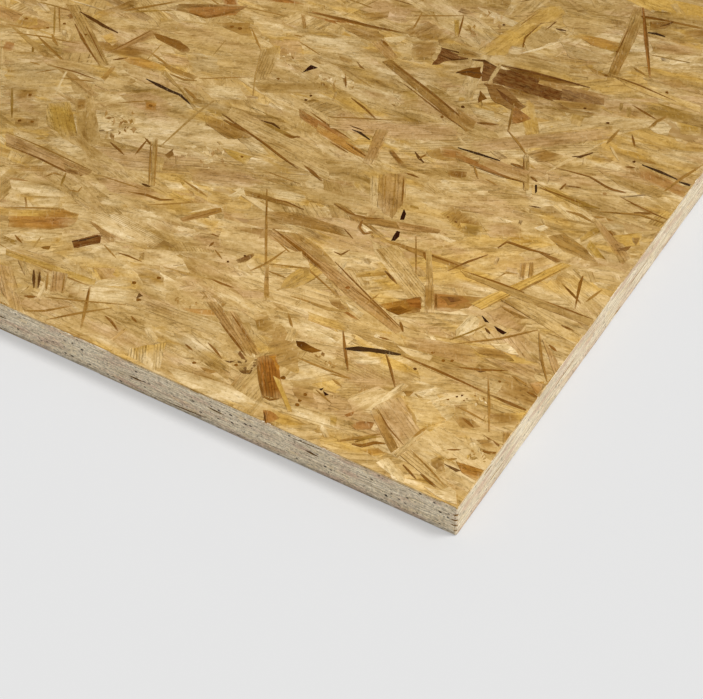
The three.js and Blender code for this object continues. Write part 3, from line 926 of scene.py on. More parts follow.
def middle_right():
    flake(CLAY, (376, 130), (389, 131), (374, 164), (363, 163), run=(-14, 32), figure=0.6, pitch=1.6)
    flake(BROWN, (388, 151), (400, 166), (404, 163), (393, 150), crisp=0.9, hold=0.9)
    sliver(DARK, 1.6, (415, 152), (419, 158), (424, 163))
    sliver(BROWN, 1.2, (427, 154), (419, 159))
    flake(UMBER, (426, 152), (450, 145), (472, 155), (462, 161), (446, 161), (432, 158), mottle=0.5,
          crisp=0.4, hold=0.95)
    flake(RUST, (440, 148), (464, 152), (460, 160), (444, 158), mottle=0.3, crisp=0.2)
    flake(BROWN, (447, 170), (467, 172), (466, 177), (458, 178), (449, 176), mottle=0.2, crisp=0.6)
    sliver(BROWN, 1.8, (404, 173), (412, 175), (419, 178))
    flake(PALE, (370, 176), (370, 205), (378, 207), (378, 176), figure=0.8, pitch=1.8, crisp=0.5)
    flake(CLAY, (379, 175), (407, 174), (405, 200), (392, 219), (377, 207), run=(-2, 40), figure=1.2,
          pitch=1.7, hold=0.75)
    sliver(UMBER, 0.9, (386, 176), (384, 202))
    sliver(UMBER, 0.9, (396, 176), (392, 216))
    sliver(BROWN, 1.1, (404, 176), (402, 206))
    flake(BLACK, (404, 209), (400, 220), (404, 220), (406, 214), crisp=1.0, hold=1.0)
    flake(BLACK, (397, 231), (400, 232), (399, 237), (395, 241), (391, 241), run=(-5, 10), crisp=1.0,
          hold=1.0)
    flake(UMBER, (334, 203), (376, 238), (386, 236), (352, 212), (340, 204), figure=1.0, pitch=1.4,
          crisp=0.4)
    flake(UMBER, (346, 213), (440, 230), (438, 233), (415, 232), (372, 225), (352, 219), crisp=0.8)
    flake(CLAY, (396, 222), (441, 230), (438, 234), (400, 229), crisp=0.9)
    sliver(BROWN, 1.3, (334, 204), (350, 214), (366, 219), (384, 219))
    sliver(BROWN, 1.5, (363, 219), (359, 228), (364, 234), (373, 233))
    flake(CREAM, (362, 224), (372, 231), (364, 232), crisp=0.8)
    sliver(BROWN, 1.0, (344, 229), (353, 239))
    stain(UMBER, (440, 214), (452, 206), (478, 220), (484, 235), (462, 233), mottle=0.4, hold=0.9)
    specks(BROWN, 1.6, (448, 217), (456, 222), (466, 228))
    flake(UMBER, (374, 236), (470, 266), (460, 270), (420, 256), (396, 246), crisp=0.5)
    sliver(BROWN, 1.5, (418, 251), (440, 259), (462, 267))
    sliver(BROWN, 1.3, (448, 271), (468, 262), (488, 255))
    sliver(BROWN, 2.0, (423, 252), (428, 262))
    flake(TAN, (376, 250), (414, 298), (428, 292), (398, 246), figure=1.3, pitch=1.3, crisp=0.3)
    sliver(BROWN, 1.4, (385, 271), (397, 284))
    flake(DULL, (426, 250), (427, 312), (434, 312), (433, 280), (431, 250), figure=0.8, pitch=1.6,
          crisp=0.6)
    sliver(UMBER, 0.8, (416, 236), (416, 276))
    flake(ORANGE, (379, 305), (421, 297), (420, 312), (408, 314), (393, 313), second=BROWN, mottle=0.5,
          crisp=0.8, hold=0.9)
    flake(BROWN, (386, 310), (400, 306), (412, 311), (398, 315), crisp=1.0, hold=1.0)
    flake(RUST, (406, 300), (420, 299), (421, 309), (410, 307), crisp=1.0, hold=1.0)
    flake(RUST, (434, 294), (484, 298), (468, 308), (450, 312), (434, 310), second=UMBER, mottle=0.4,
          crisp=0.8, hold=0.9)
    flake(BROWN, (440, 297), (462, 297), (470, 302), (448, 306), second=RUST, blend=0.5, crisp=1.0,
          hold=0.9)
    flake(MAROON, (447, 298), (457, 298), (462, 301), (451, 303), second=BROWN, crisp=1.0, hold=0.9)
    sliver(BROWN, 1.3, (436, 294), (436, 310))
    flake(UMBER, (425, 286), (425, 313), (434, 313), (433, 286), figure=0.7, pitch=1.4, crisp=0.8)
    sliver(BROWN, 1.2, (378, 337), (389, 340))
    sliver(BROWN, 1.6, (400, 322), (403, 332))
    flake(TAN, (440, 350), (546, 384), (530, 410), (456, 382), second=UMBER, figure=0.6, crisp=0.4,
          hold=0.8)
    flake(DULL, (340, 327), (450, 360), (506, 380), (496, 394), (456, 382), (400, 356), figure=0.7,
          crisp=0.4, hold=0.7)
    stain(CLAY, (400, 335), (470, 346), (484, 362), (470, 372), (410, 350))
    flake(PALE, (396, 345), (433, 356), (430, 361), (412, 357))
    sliver(BROWN, 1.5, (400, 355), (440, 372), (488, 394))
    sliver(BROWN, 1.9, (490, 395), (510, 404), (530, 412))
    specks(BROWN, 1.8, (443, 361), (452, 361), (433, 353), (500, 382))
    sliver(BROWN, 1.5, (343, 331), (345, 350), (348, 371))
    sliver(BLACK, 2.8, (345, 349), (358, 349), (370, 350), (384, 352), (401, 355))
    stain(CREAM, (350, 356), (384, 357), (380, 366), (352, 364))
    sliver(BROWN, 1.2, (386, 354), (391, 370), (395, 387))
    specks(DARK, 1.3, (415, 369))
    flake(GOLD, (482, 310), (572, 266), (562, 263), (520, 282), (470, 304), figure=1.0, pitch=1.5,
          crisp=0.9, hold=0.95)
    sliver(UMBER, 0.9, (488, 306), (530, 286), (566, 268))
    flake(DULL, (460, 270), (596, 320), (590, 327), (560, 315), (530, 304), (500, 291), (466, 277),
          figure=0.7, crisp=0.8)
    sliver(BROWN, 1.3, (462, 271), (500, 284), (524, 293))
    sliver(BROWN, 1.0, (540, 300), (596, 321))
    flake(UMBER, (526, 263), (524, 280), (519, 279), (521, 264), figure=1.2, pitch=1.4, crisp=0.5)
    flake(UMBER, (530, 263), (528, 279), (533, 276), (533, 263), figure=1.2, pitch=1.4, crisp=0.5)
    flake(BROWN, (536, 251), (563, 261), (556, 263), (546, 257), crisp=0.8)
    sliver(UMBER, 1.2, (499, 277), (506, 273), (516, 274))
    sliver(BROWN, 1.6, (575, 309), (580, 284), (583, 276))
    flake(TAN, (500, 300), (576, 346), (582, 336), (532, 304), figure=0.9, pitch=2.0, crisp=0.4)
    sliver(BROWN, 1.5, (561, 326), (573, 331))
    flake(CREAM, (456, 330), (470, 315), (480, 320), (474, 335), (456, 338), crisp=0.5, hold=0.8)
    flake(BLACK, (482, 316), (489, 323), (485, 322), crisp=1.0, hold=1.0)
    flake(BLACK, (494, 326), (507, 333), (503, 335), (497, 331), crisp=1.0, hold=1.0)
    sliver(DARK, 1.2, (485, 328), (490, 334))
    stain(CLAY, (486, 312), (500, 305), (528, 318), (520, 332), (500, 325), hold=0.5)
    flake(UMBER, (500, 306), (528, 319), (516, 318), crisp=0.8)
    sliver(UMBER, 1.2, (455, 344), (500, 339), (538, 330))
    sliver(OLIVE, 1.2, (450, 340), (470, 333), (486, 325))
    flake(CREAM, (490, 344), (508, 343), (519, 356), (504, 352))
    stain(UMBER, (470, 346), (500, 350), (514, 361), (500, 361), (480, 354), hold=0.9)
    sliver(UMBER, 1.3, (539, 333), (541, 358), (547, 382))
    sliver(BROWN, 1.6, (549, 345), (557, 352))
    flake(CLAY, (542, 340), (556, 378), (562, 370), (550, 350), figure=1.0, pitch=1.4, crisp=0.4,
          hold=0.7)
    flake(DARK, (470, 368), (486, 372), (480, 373), crisp=0.9)
    sliver(BROWN, 1.4, (454, 367), (478, 370), (508, 371))


def near_left():
    flake(ORANGE, (269, 357), (276, 356), (278, 372), (275, 366), crisp=1.0, hold=1.0)
    stain(BROWN, (328, 298), (339, 299), (350, 312), (342, 312), (332, 305), mottle=0.4)
    stain(UMBER, (254, 314), (266, 311), (276, 326), (270, 344), (258, 334), mottle=0.5, hold=0.5)
    sliver(BLACK, 1.5, (458, 148), (478, 154), (500, 161))
    flake(RUST, (456, 153), (524, 182), (500, 176), (478, 167), (456, 160))
    flake(CLAY, (480, 157), (530, 172), (526, 184), (500, 174), (478, 164), crisp=0.5, hold=0.7)
    sliver(BROWN, 1.3, (470, 165), (500, 176), (526, 183))
    sliver(UMBER, 1.0, (474, 166), (478, 179))
    sliver(UMBER, 1.2, (485, 179), (498, 186))
    stain(UMBER, (526, 153), (542, 149), (563, 156), (552, 164), (538, 162), hold=0.9)
    sliver(PALE, 2.0, (546, 173), (562, 164), (584, 152), (607, 141))
    sliver(DARK, 1.5, (572, 157), (580, 157), (593, 153))
    sliver(BROWN, 1.5, (511, 164), (526, 169))
    sliver(BROWN, 1.5, (531, 177), (537, 182))
    flake(BLACK, (535, 185), (535, 194), (537, 192), (537, 185), crisp=1.0, hold=1.0)
    stain(CREAM, (526, 184), (533, 184), (532, 198), (526, 196))
    flake(OLIVE, (538, 184), (600, 209), (580, 207), (556, 196), crisp=0.6, hold=0.7)
    sliver(BROWN, 1.2, (540, 188), (566, 198), (584, 205))
    sliver(BROWN, 1.3, (560, 190), (566, 184))
    sliver(BROWN, 1.1, (566, 186), (581, 188))
    sliver(BROWN, 1.2, (556, 168), (590, 177), (606, 187), (622, 193))
    sliver(UMBER, 2.2, (566, 211), (580, 215), (594, 223))
    sliver(UMBER, 2.0, (592, 216), (613, 221))
    flake(CLAY, (592, 220), (622, 266), (632, 258), (606, 218), figure=1.2, pitch=1.5, crisp=0.4,
          hold=0.9)
    sliver(BROWN, 1.1, (602, 222), (616, 240))
    flake(UMBER, (548, 237), (564, 233), (582, 246), (597, 262), (584, 260), (562, 250), run=(30, 16),
          figure=1.0, mottle=0.6)
    flake(YELLOW, (590, 240), (606, 260), (594, 258), (586, 248), crisp=0.4)
    flake(CREAM, (497, 217), (514, 222), (504, 223), crisp=0.8)
    flake(CREAM, (534, 228), (544, 225), (549, 228), (541, 232), crisp=0.8)
    stain(OLIVE, (460, 223), (482, 226), (480, 238), (464, 237), hold=0.9)
    sliver(BROWN, 1.5, (498, 248), (507, 242), (530, 250), (550, 255))
    stain(PINK, (480, 222), (520, 224), (524, 240), (490, 238))
    sliver(DARK, 1.1, (529, 206), (541, 208))
    specks(CLAY, 2.6, (605, 194))
    sliver(BROWN, 1.6, (632, 135), (635, 148))
    specks(DARK, 2.0, (634, 162))
    sliver(BROWN, 1.6, (625, 167), (635, 168))
    sliver(UMBER, 1.8, (640, 160), (656, 164))
    sliver(UMBER, 1.8, (607, 144), (612, 138), (619, 130))
    sliver(PALE, 1.6, (610, 146), (619, 161))
    flake(DULL, (598, 170), (672, 194), (656, 199), (620, 187), figure=0.6, crisp=0.5)
    sliver(BROWN, 1.4, (608, 189), (626, 193))
    sliver(BROWN, 1.3, (620, 197), (645, 210), (670, 221))
    sliver(UMBER, 1.4, (600, 212), (640, 215), (666, 224))
    sliver(BROWN, 1.5, (634, 213), (652, 214))
    flake(GOLD, (612, 236), (642, 233), (640, 246), (626, 248), (618, 242), crisp=0.5, hold=0.9)
    flake(BROWN, (618, 249), (632, 246), (626, 252), crisp=0.8)
    flake(UMBER, (632, 238), (640, 238), (636, 246), crisp=0.6)
    stain(GREY, (600, 222), (622, 224), (624, 233), (608, 231))
    sliver(BROWN, 1.4, (562, 284), (572, 294), (581, 304))
    sliver(UMBER, 1.8, (586, 302), (602, 290))


def near_middle():
    chips((314, 354), (338, 368), 12, 61, (BROWN, UMBER, PALE), (1.2, 3.2))
    flake(BLACK, (319, 389), (324, 388), (321, 391), crisp=1.0, hold=1.0)
    flake(BLACK, (323, 391), (329, 395), (325, 396), crisp=1.0, hold=1.0)
    sliver(UMBER, 1.0, (316, 390), (332, 404))
    sliver(UMBER, 1.3, (332, 379), (342, 387))
    sliver(UMBER, 1.2, (330, 374), (352, 379))
    stain(UMBER, (290, 380), (312, 384), (318, 408), (300, 404), mottle=0.5, hold=0.6)
    specks(BROWN, 2.0, (297, 405), (305, 395), (283, 378), (300, 401))
    flake(CREAM, (366, 410), (402, 383), (409, 386), (376, 411), crisp=0.8, hold=0.7)
    flake(UMBER, (358, 393), (367, 390), (363, 388), (359, 390), crisp=0.6)
    flake(UMBER, (403, 391), (414, 392), (408, 398), crisp=0.6)
    flake(RUST, (344, 415), (355, 411), (352, 416), (347, 417), crisp=0.6)
    stain(YELLOW, (329, 415), (337, 417), (336, 427), (330, 426))
    flake(PINK, (371, 411), (384, 402), (402, 396), (412, 408), (420, 432), (404, 450), (394, 446),
          run=(28, 40), figure=0.8, pitch=1.7, crisp=0.3, hold=0.8)
    flake(UMBER, (370, 411), (391, 453), (398, 448), (379, 409), crisp=0.9)
    sliver(BROWN, 1.0, (378, 410), (388, 428), (404, 446))
    flake(RUST, (351, 426), (360, 421), (374, 423), (371, 429), (356, 430), run=(22, 0), crisp=0.6,
          hold=0.7)
    sliver(UMBER, 1.8, (338, 441), (360, 438), (381, 434))
    sliver(OLIVE, 1.3, (355, 442), (366, 438), (381, 437))
    sliver(BROWN, 1.8, (352, 444), (362, 446), (374, 443), (387, 444))
    stain(ORANGE, (360, 450), (378, 448), (388, 454), (374, 458), hold=0.6)
    flake(CREAM, (376, 463), (388, 458), (402, 472), (406, 488), (398, 489), (390, 474), run=(26, 30),
          crisp=0.6)
    flake(TAN, (400, 456), (446, 494), (454, 489), (411, 448), figure=1.3, pitch=1.4)
    sliver(BROWN, 1.1, (403, 465), (416, 479))
    sliver(BROWN, 1.2, (421, 474), (435, 487))
    sliver(UMBER, 1.0, (410, 450), (430, 470), (446, 488))
    flake(PALE, (397, 458), (425, 433), (421, 430), (394, 454), crisp=0.8)
    sliver(UMBER, 1.8, (413, 438), (426, 428))
    sliver(DULL, 1.5, (415, 394), (426, 402), (437, 418))
    sliver(DULL, 1.4, (412, 413), (416, 425))
    sliver(CREAM, 1.5, (427, 403), (463, 394))
    stain(CREAM, (436, 394), (474, 392), (476, 404), (440, 406))
    specks(DARK, 1.0, (457, 397), (462, 396))
    specks(BROWN, 1.0, (448, 400), (464, 401))
    sliver(UMBER, 1.1, (454, 405), (470, 413), (486, 422))
    stain(UMBER, (452, 416), (470, 418), (480, 427), (462, 431), hold=0.8)
    sliver(BROWN, 1.6, (462, 418), (474, 428))
    stain(BROWN, (431, 460), (440, 456), (445, 472), (436, 475), hold=0.6)
    sliver(BROWN, 1.3, (447, 450), (461, 450))
    sliver(UMBER, 1.6, (447, 460), (457, 459))
    flake(DARK, (444, 464), (461, 471), (456, 472), crisp=1.0)
    stain(CREAM, (404, 396), (430, 400), (446, 420), (420, 430), hold=0.5)
    flake(CREAM, (424, 487), (440, 491), (450, 487), (456, 492), (457, 505), (448, 502), (436, 496),
          run=(34, 12), mottle=0.3, crisp=0.9)


def near_right():
    sliver(UMBER, 1.4, (488, 376), (489, 402), (489, 432))
    stain(UMBER, (488, 414), (526, 413), (518, 428), (496, 427), hold=0.8)
    flake(ORANGE, (530, 384), (538, 397), (544, 382), crisp=0.5, hold=0.7)
    sliver(BROWN, 1.2, (527, 392), (538, 398))
    sliver(UMBER, 1.2, (512, 376), (530, 388))
    flake(BROWN, (482, 434), (503, 447), (499, 447), (490, 442), crisp=0.9, hold=0.9)
    stain(UMBER, (476, 440), (492, 440), (498, 448), (486, 449), hold=0.8)
    sliver(BROWN, 1.7, (480, 450), (488, 453), (499, 453))
    flake(UMBER, (503, 431), (503, 443), (508, 441), (515, 431), figure=1.0, pitch=1.5, crisp=0.5)
    flake(ORANGE, (456, 462), (486, 471), (476, 481), (462, 473), crisp=0.4, hold=0.8)
    chips((466, 449), (492, 464), 16, 71, (UMBER, PALE, DULL, GOLD), (1.2, 3.4))
    chips((466, 396), (486, 406), 8, 72, (CREAM, CREAM, CLAY, BROWN), (1.2, 3.0))


# ---------------------------------------------------------------- clipping and meshing
Corner = namedtuple("Corner", "x y u v")


def corners_of(strand):
    cos, sin = math.cos(strand.angle), math.sin(strand.angle)
    return [
        Corner(strand.x + u * cos - v * sin, strand.y + u * sin + v * cos, u, v)
        for u, v in strand.outline
    ]


def blend_corners(a, b, t):
    return Corner(*(p + (q - p) * t for p, q in zip(a, b)))


def clip(corners, axis, limit, keep_below):
    """The part of an outline on one side of a line x = limit (axis 0) or y = limit (axis 1)."""
    made = []
    for i, here in enumerate(corners):
        there = corners[(i + 1) % len(corners)]
        inside = (here[axis] <= limit) == keep_below
        next_inside = (there[axis] <= limit) == keep_below
        if inside:
            made.append(here)
        if inside != next_inside:
            made.append(blend_corners(here, there, (limit - here[axis]) / (there[axis] - here[axis])))
    return made


def outline_area(corners):
    total = 0.0
    for i, here in enumerate(corners):
        there = corners[(i + 1) % len(corners)]
        total += here.x * there.y - there.x * here.y
    return total / 2


def tidy_outline(corners, least=0.02):
    """Drops corners that fall on the one before."""
    made = []
    for corner in corners:
        if not made or abs(corner.x - made[-1].x) + abs(corner.y - made[-1].y) > least:
            made.append(corner)
    while len(made) > 1 and abs(made[0].x - made[-1].x) + abs(made[0].y - made[-1].y) <= least:
        made.pop()
    return made


LANES = 8
ROWS = 4
LANE_WIDTH = (SHEET_HIGH.y - SHEET_LOW.y) / LANES
ROW_LENGTH = (SHEET_HIGH.x - SHEET_LOW.x) / ROWS
ROW_MARGIN = LONGEST_STRAND / 2 + 3.0
LANE_MARGIN = 2.0
RIM_INSET = (0.15, 1.3)
CHAMFER = 0.22
EDGE_DEPTH = 0.75
LEAST_AREA = 0.4
PILE_CELL = 2.0
PILE_STEP = 1.4
STRAND_LIFT = 0.012
FOOT_DEPTH = 0.12
ARRIS_REACH = 0.3
TOUCHING = 1e-6
PLATE_SPARE = 1.3


class Sheaf:
    """Collects the plates of one lane of one face and turns them into a mesh."""

    def __init__(self, lane):
        self.low = SHEET_LOW.y + lane * LANE_WIDTH
        self.high = self.low + LANE_WIDTH
        self.places, self.faces, self.maps = [], [], []
        self.grain, self.tone, self.second, self.look = [], [], [], []
        self.rim, self.size, self.edge = [], [], []

    def add(self, strand, height, foot):
        inset = RIM_INSET[0] + (RIM_INSET[1] - RIM_INSET[0]) * (strand.seed % 1.0) ** 3
        corners = self.inside(corners_of(strand), inset)
        if len(corners) < 3 or outline_area(corners) < LEAST_AREA:
            return
        first = len(self.places)
        count = len(corners)
        row = min(ROWS - 1, max(0, int((strand.x - SHEET_LOW.x) / ROW_LENGTH)))
        outward = outward_steps(corners)
        for ring in (0, 1):
            for corner, step in zip(corners, outward):
                x = corner.x + ring * CHAMFER * step[0]
                y = corner.y + ring * CHAMFER * step[1]
                drop = self.foot_height(corner, foot) if ring else height
                self.places.append((x, y, drop))
                self.maps.append(self.map_place(x, y, row))
                self.grain.append((corner.u, corner.v, strand.seed))
                self.tone.append(strand.tone)
                self.second.append(strand.second)
                self.look.append((strand.figure, strand.pitch, strand.mottle))
                # the side that gets the painted shade line; below, the gap to that side, its strength,
                # and 0 at the top, 1 at the foot for the painted shade on the sloping sides
                side = -1.0 if strand.rim > 0 else 1.0
                self.rim.append((strand.half - side * corner.v, abs(strand.rim), float(ring)))
                self.size.append((strand.reach, strand.half, strand.hold))
                self.edge.append((strand.crisp, strand.blend, 0.0))  # a vector's third place, unused
        for i, corner in enumerate(corners):
            j = (i + 1) % count
            if not self.on_lane_border(corner, corners[j]):
                self.faces.append((first + i, first + count + i, first + count + j, first + j))
        self.faces.append(tuple(range(first, first + count)))

    def inside(self, corners, inset):
        """The part of an outline that lies in this lane and on the sheet."""
        limits = (
            (1, max(self.low, SHEET_LOW.y + inset), False),
            (1, min(self.high, SHEET_HIGH.y - inset), True),
            (0, SHEET_LOW.x + inset, False),
            (0, SHEET_HIGH.x - inset, True),
        )
        for axis, limit, keep_below in limits:
            if any((corner[axis] <= limit) != keep_below for corner in corners):
                corners = clip(corners, axis, limit, keep_below)
        return tidy_outline(corners)

    def foot_height(self, corner, foot):
        """At the sheet's sawn edge the plates reach down over the eased arris."""
        to_end = min(abs(corner.x - SHEET_LOW.x), abs(corner.x - SHEET_HIGH.x))
        to_side = min(abs(corner.y - SHEET_LOW.y), abs(corner.y - SHEET_HIGH.y))
        return -EDGE_DEPTH if min(to_end, to_side) < ARRIS_REACH else foot

    def on_lane_border(self, a, b):
        for border in (self.low, self.high):
            inner = SHEET_LOW.y + LANE_MARGIN < border < SHEET_HIGH.y - LANE_MARGIN
            if inner and max(abs(a.y - border), abs(b.y - border)) < TOUCHING:
                return True
        return False

    def map_place(self, x, y, row):
        """Where a point lies on the lane's own map, which stacks the lane in rows."""
        along = x - SHEET_LOW.x - row * ROW_LENGTH + ROW_MARGIN
        across = (y - self.low + LANE_MARGIN) / (LANE_WIDTH + 2 * LANE_MARGIN)
        return along / (ROW_LENGTH + 2 * ROW_MARGIN), (row + across) / ROWS


def outward_steps(corners):
    """Unit steps away from the outline, one a corner."""
    made = []
    for i in range(len(corners)):
        before, after = corners[i - 1], corners[(i + 1) % len(corners)]
        dx, dy = after.x - before.x, after.y - before.y
        size = math.hypot(dx, dy) or 1.0
        made.append((dy / size, -dx / size))
    return made


def sheaf_object(name, sheaf, base, facing, material):
    """The lane's mesh; facing is +1 on the top face and -1 on the underside."""
    places = np.array(sheaf.places)
    places[:, 2] = base + facing * places[:, 2]
    faces = sheaf.faces if facing > 0 else [face[::-1] for face in sheaf.faces]
    mesh = bpy.data.meshes.new(name)
    mesh.from_pydata((places * MM).tolist(), [], faces)
    for attribute in ("grain", "tone", "second", "look", "rim", "size", "edge"):
        layer = mesh.attributes.new(attribute, "FLOAT_VECTOR", "POINT")
        layer.data.foreach_set("vector", np.array(getattr(sheaf, attribute), np.float32).ravel())
    owner = np.zeros(len(mesh.loops), np.int32)
    mesh.loops.foreach_get("vertex_index", owner)
    unwrap = mesh.uv_layers.new(name="OFBake")
    unwrap.data.foreach_set("uv", np.array(sheaf.maps, np.float32)[owner].ravel())
    mesh.materials.append(material)
    made = bpy.data.objects.new(name, mesh)
    bpy.context.scene.collection.objects.link(made)
    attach(made, "root")
    return made


class Pile:
    """How high the strands laid so far reach, on a grid of cells over the sheet."""

    def __init__(self):
        size = SHEET_HIGH - SHEET_LOW
        self.top = np.zeros((int(size.x / PILE_CELL) + 1, int(size.y / PILE_CELL) + 1))

    def rest(self, strand):
        """A strand's height on all that is under it, and a foot down in the lowest of that."""
        u = np.arange(-strand.reach, strand.reach, PILE_STEP)
        v = np.linspace(-strand.half, strand.half, 2 + int(2 * strand.half / PILE_STEP))
        u, v = np.meshgrid(u, v)
        cos, sin = math.cos(strand.angle), math.sin(strand.angle)
        x = strand.x + u * cos - v * sin - SHEET_LOW.x
        y = strand.y + u * sin + v * cos - SHEET_LOW.y
        i = np.clip((x / PILE_CELL).astype(int), 0, self.top.shape[0] - 1)
        j = np.clip((y / PILE_CELL).astype(int), 0, self.top.shape[1] - 1)
        under = self.top[i, j]
        height = STRAND_LIFT + under.mean() + (under.max() - under.mean()) * strand.sit
        self.top[i, j] = np.maximum(under, height)
        return height, under.min() - FOOT_DEPTH


def lay(sheaves, strands):
    """Stacks the strands in order."""
    pile = Pile()
    for strand in strands:
        height, foot = pile.rest(strand)
        reach = strand.reach * PLATE_SPARE + strand.half
        for sheaf in sheaves:
            if sheaf.low - reach < strand.y < sheaf.high + reach:
                sheaf.add(strand, height, foot)


# ---------------------------------------------------------------- node materials
class Nodes:
    """Short names for building a node tree."""

    def __init__(self, name):
        self.material = bpy.data.materials.new(name)
        self.material.use_nodes = True
        self.tree = self.material.node_tree
        self.tree.nodes.clear()
        self.output = self.tree.nodes.new("ShaderNodeOutputMaterial")
        self.shader = self.tree.nodes.new("ShaderNodeBsdfPrincipled")
        self.tree.links.new(self.shader.outputs[0], self.output.inputs[0])

    def put(self, socket, value):
        if isinstance(value, bpy.types.NodeSocket):
            self.tree.links.new(value, socket)
        elif isinstance(value, tuple) and len(value) == 3 and socket.type == "RGBA":
            socket.default_value = (*value, 1.0)
        else:
            socket.default_value = value

    def coordinates(self):
        """The place in the object, in metres."""
        return self.tree.nodes.new("ShaderNodeTexCoord").outputs["Object"]

    def attribute(self, name):
        made = self.tree.nodes.new("ShaderNodeAttribute")
        made.attribute_name = name
        return made.outputs["Vector"]

    def split(self, vector):
        made = self.tree.nodes.new("ShaderNodeSeparateXYZ")
        self.put(made.inputs[0], vector)
        return made.outputs

    def join(self, x, y, z):
        made = self.tree.nodes.new("ShaderNodeCombineXYZ")
        for socket, value in zip(made.inputs, (x, y, z)):
            self.put(socket, value)
        return made.outputs[0]

    def math(self, operation, a, b=0.0, clamp=False):
        made = self.tree.nodes.new("ShaderNodeMath")
        made.operation = operation
        made.use_clamp = clamp
        self.put(made.inputs[0], a)
        self.put(made.inputs[1], b)
        return made.outputs[0]

    def noise(self, vector, detail=2.0, rough=0.5, scale=1.0):
        made = self.tree.nodes.new("ShaderNodeTexNoise")
        self.put(made.inputs["Vector"], vector)
        made.inputs["Scale"].default_value = scale
        made.inputs["Detail"].default_value = detail
        made.inputs["Roughness"].default_value = rough
        return made.outputs["Fac"]

    def cells(self, vector):
        made = self.tree.nodes.new("ShaderNodeTexVoronoi")
        self.put(made.inputs["Vector"], vector)
        made.inputs["Scale"].default_value = 1.0
        return made.outputs["Distance"], made.outputs["Color"]

    def ramp(self, value, low, high, out_low=0.0, out_high=1.0):
        """Smooth step of a value between low and high."""
        made = self.tree.nodes.new("ShaderNodeMapRange")
        made.interpolation_type = "SMOOTHSTEP"
        self.put(made.inputs["Value"], value)
        self.put(made.inputs["From Min"], low)
        self.put(made.inputs["From Max"], high)
        self.put(made.inputs["To Min"], out_low)
        self.put(made.inputs["To Max"], out_high)
        return made.outputs["Result"]

    def mix(self, share, a, b, blend="MIX"):
        made = self.tree.nodes.new("ShaderNodeMix")
        made.data_type = "RGBA"
        made.blend_type = blend
        self.put(made.inputs["Factor"], share)
        self.put(made.inputs["A"], a)
        self.put(made.inputs["B"], b)
        return made.outputs["Result"]

    def bump(self, height, distance, strength=1.0):
        made = self.tree.nodes.new("ShaderNodeBump")
        made.inputs["Strength"].default_value = strength
        made.inputs["Distance"].default_value = distance
        self.put(made.inputs["Height"], height)
        return made.outputs[0]

    def finish(self, colour, roughness, normal, specular):
        self.put(self.shader.inputs["Base Color"], colour)
        self.put(self.shader.inputs["Roughness"], roughness)
        self.put(self.shader.inputs["Normal"], normal)
        self.shader.inputs["Specular IOR Level"].default_value = specular
        return self.material


# ---------------------------------------------------------------- the strands' material
# A noise: repeats a millimetre along and across the grain, a shift of its own, detail and roughness.
Grain = namedtuple("Grain", "along across shift detail rough", defaults=(2.0, 0.5))
WANDER = (0.05, 0.22)
WANDER_WIDTH = 3.4
TURNING = Grain(0.05, 0.3, 91.0, 3.0, 0.6)
FRAY = Grain(0.08, 0.35, 29.0, 3.0, 0.6)
DRIFT = Grain(0.055, 0.15, 33.0, 3.0, 0.62)
CRUMPLE = Grain(0.30, 0.9, 57.0, 2.0, 0.6)
CRUMPLE_SHARE = 0.9
FLAKE_CELLS = Grain(0.10, 0.34, 81.0)
FIBRE = Grain(0.45, 1.2, 5.0, 4.0, 0.6)
STREAK = Grain(0.18, 0.44, 9.0, 3.0, 0.6)
SPECK = Grain(0.75, 0.8, 17.0, 4.0, 0.7)
RING_PLACES = Grain(0.04, 0.25, 37.0)
RING_WAVER = (0.010, 0.03)
RING_WAVER_SHARE = 3.0
CRACK = Grain(0.060, 0.28, 61.0, 3.0, 0.6)
CRACK_PLACES = Grain(0.05, 0.20, 71.0)
PORE = Grain(0.36, 0.95, 75.0, 1.0)
DARK_FLECK = Grain(0.45, 1.0, 13.0, 2.0, 0.6)
MOTTLING = Grain(0.24, 0.75, 21.0, 4.0, 0.7)
PAINTED_RIM_SHADE_PLACES = Grain(0.08, 0.02, 25.0, 1.0)

# the same on the sheet's own axes, for what runs on over neighbouring strands
MAT_TURN = math.radians(4.0)
DARK_CROSS_TURN = math.radians(34.0)
PALE_CROSS_TURN = math.radians(-58.0)
MAT_PATCH = Grain(0.006, 0.012, 41.0)
MAT_DEPTH = Grain(0.030, 0.10, 0.0, 5.0, 0.6)
MAT_HUE = Grain(0.022, 0.06, 7.0, 4.0, 0.6)
PRESSED = Grain(0.30, 0.40, 51.0, 4.0, 0.7)
DARK_CROSS = Grain(0.13, 1.3, 3.0, 2.0, 0.6)
PALE_CROSS = Grain(0.20, 0.9, 5.0, 3.0, 0.6)
CROSS_PLACES = Grain(0.05, 0.09, 11.0, 3.0, 0.6)

# Bands: where a noise starts and stops counting, and, if not 0 and 1, what it is turned into.
TAN_BAND = (0.30, 0.50)
CREAM_BAND = (0.50, 0.68)
GOLD_BAND = (0.52, 0.64)
PINK_BAND = (0.35, 0.48, 1.0, 0.0)
TURNING_BAND = (-0.5, 0.6)
DRIFT_PALE_BAND = (0.54, 0.70, 0.0, 0.6)
DRIFT_DARK_BAND = (0.30, 0.47, 0.75, 0.0)
LOOSE_BAND = (0.85, 1.0)
RING_BAND = (0.38, 0.58)
CRACK_WIDTH_BAND = (0.006, 0.034, 1.0, 0.0)
CRACK_BAND = (0.50, 0.60)
PORE_BAND = (0.70, 0.76)
DARK_FLECK_BAND = (0.63, 0.74, 0.0, 0.6)
DARK_CROSS_BAND = (0.62, 0.72)
DARK_CROSS_PLACES = (0.40, 0.56)
PALE_CROSS_BAND = (0.56, 0.72)
PALE_CROSS_PLACES = (0.44, 0.60, 1.0, 0.0)
MOTTLING_BAND = (0.42, 0.6)
PAINTED_RIM_SHADE_BAND = (0.0, 0.9, 1.0, 0.0)
PAINTED_RIM_SHADE_PLACES_BAND = (0.30, 0.5)
WOOD_ROUGHNESS = (0.3, 0.7, 0.6, 0.8)

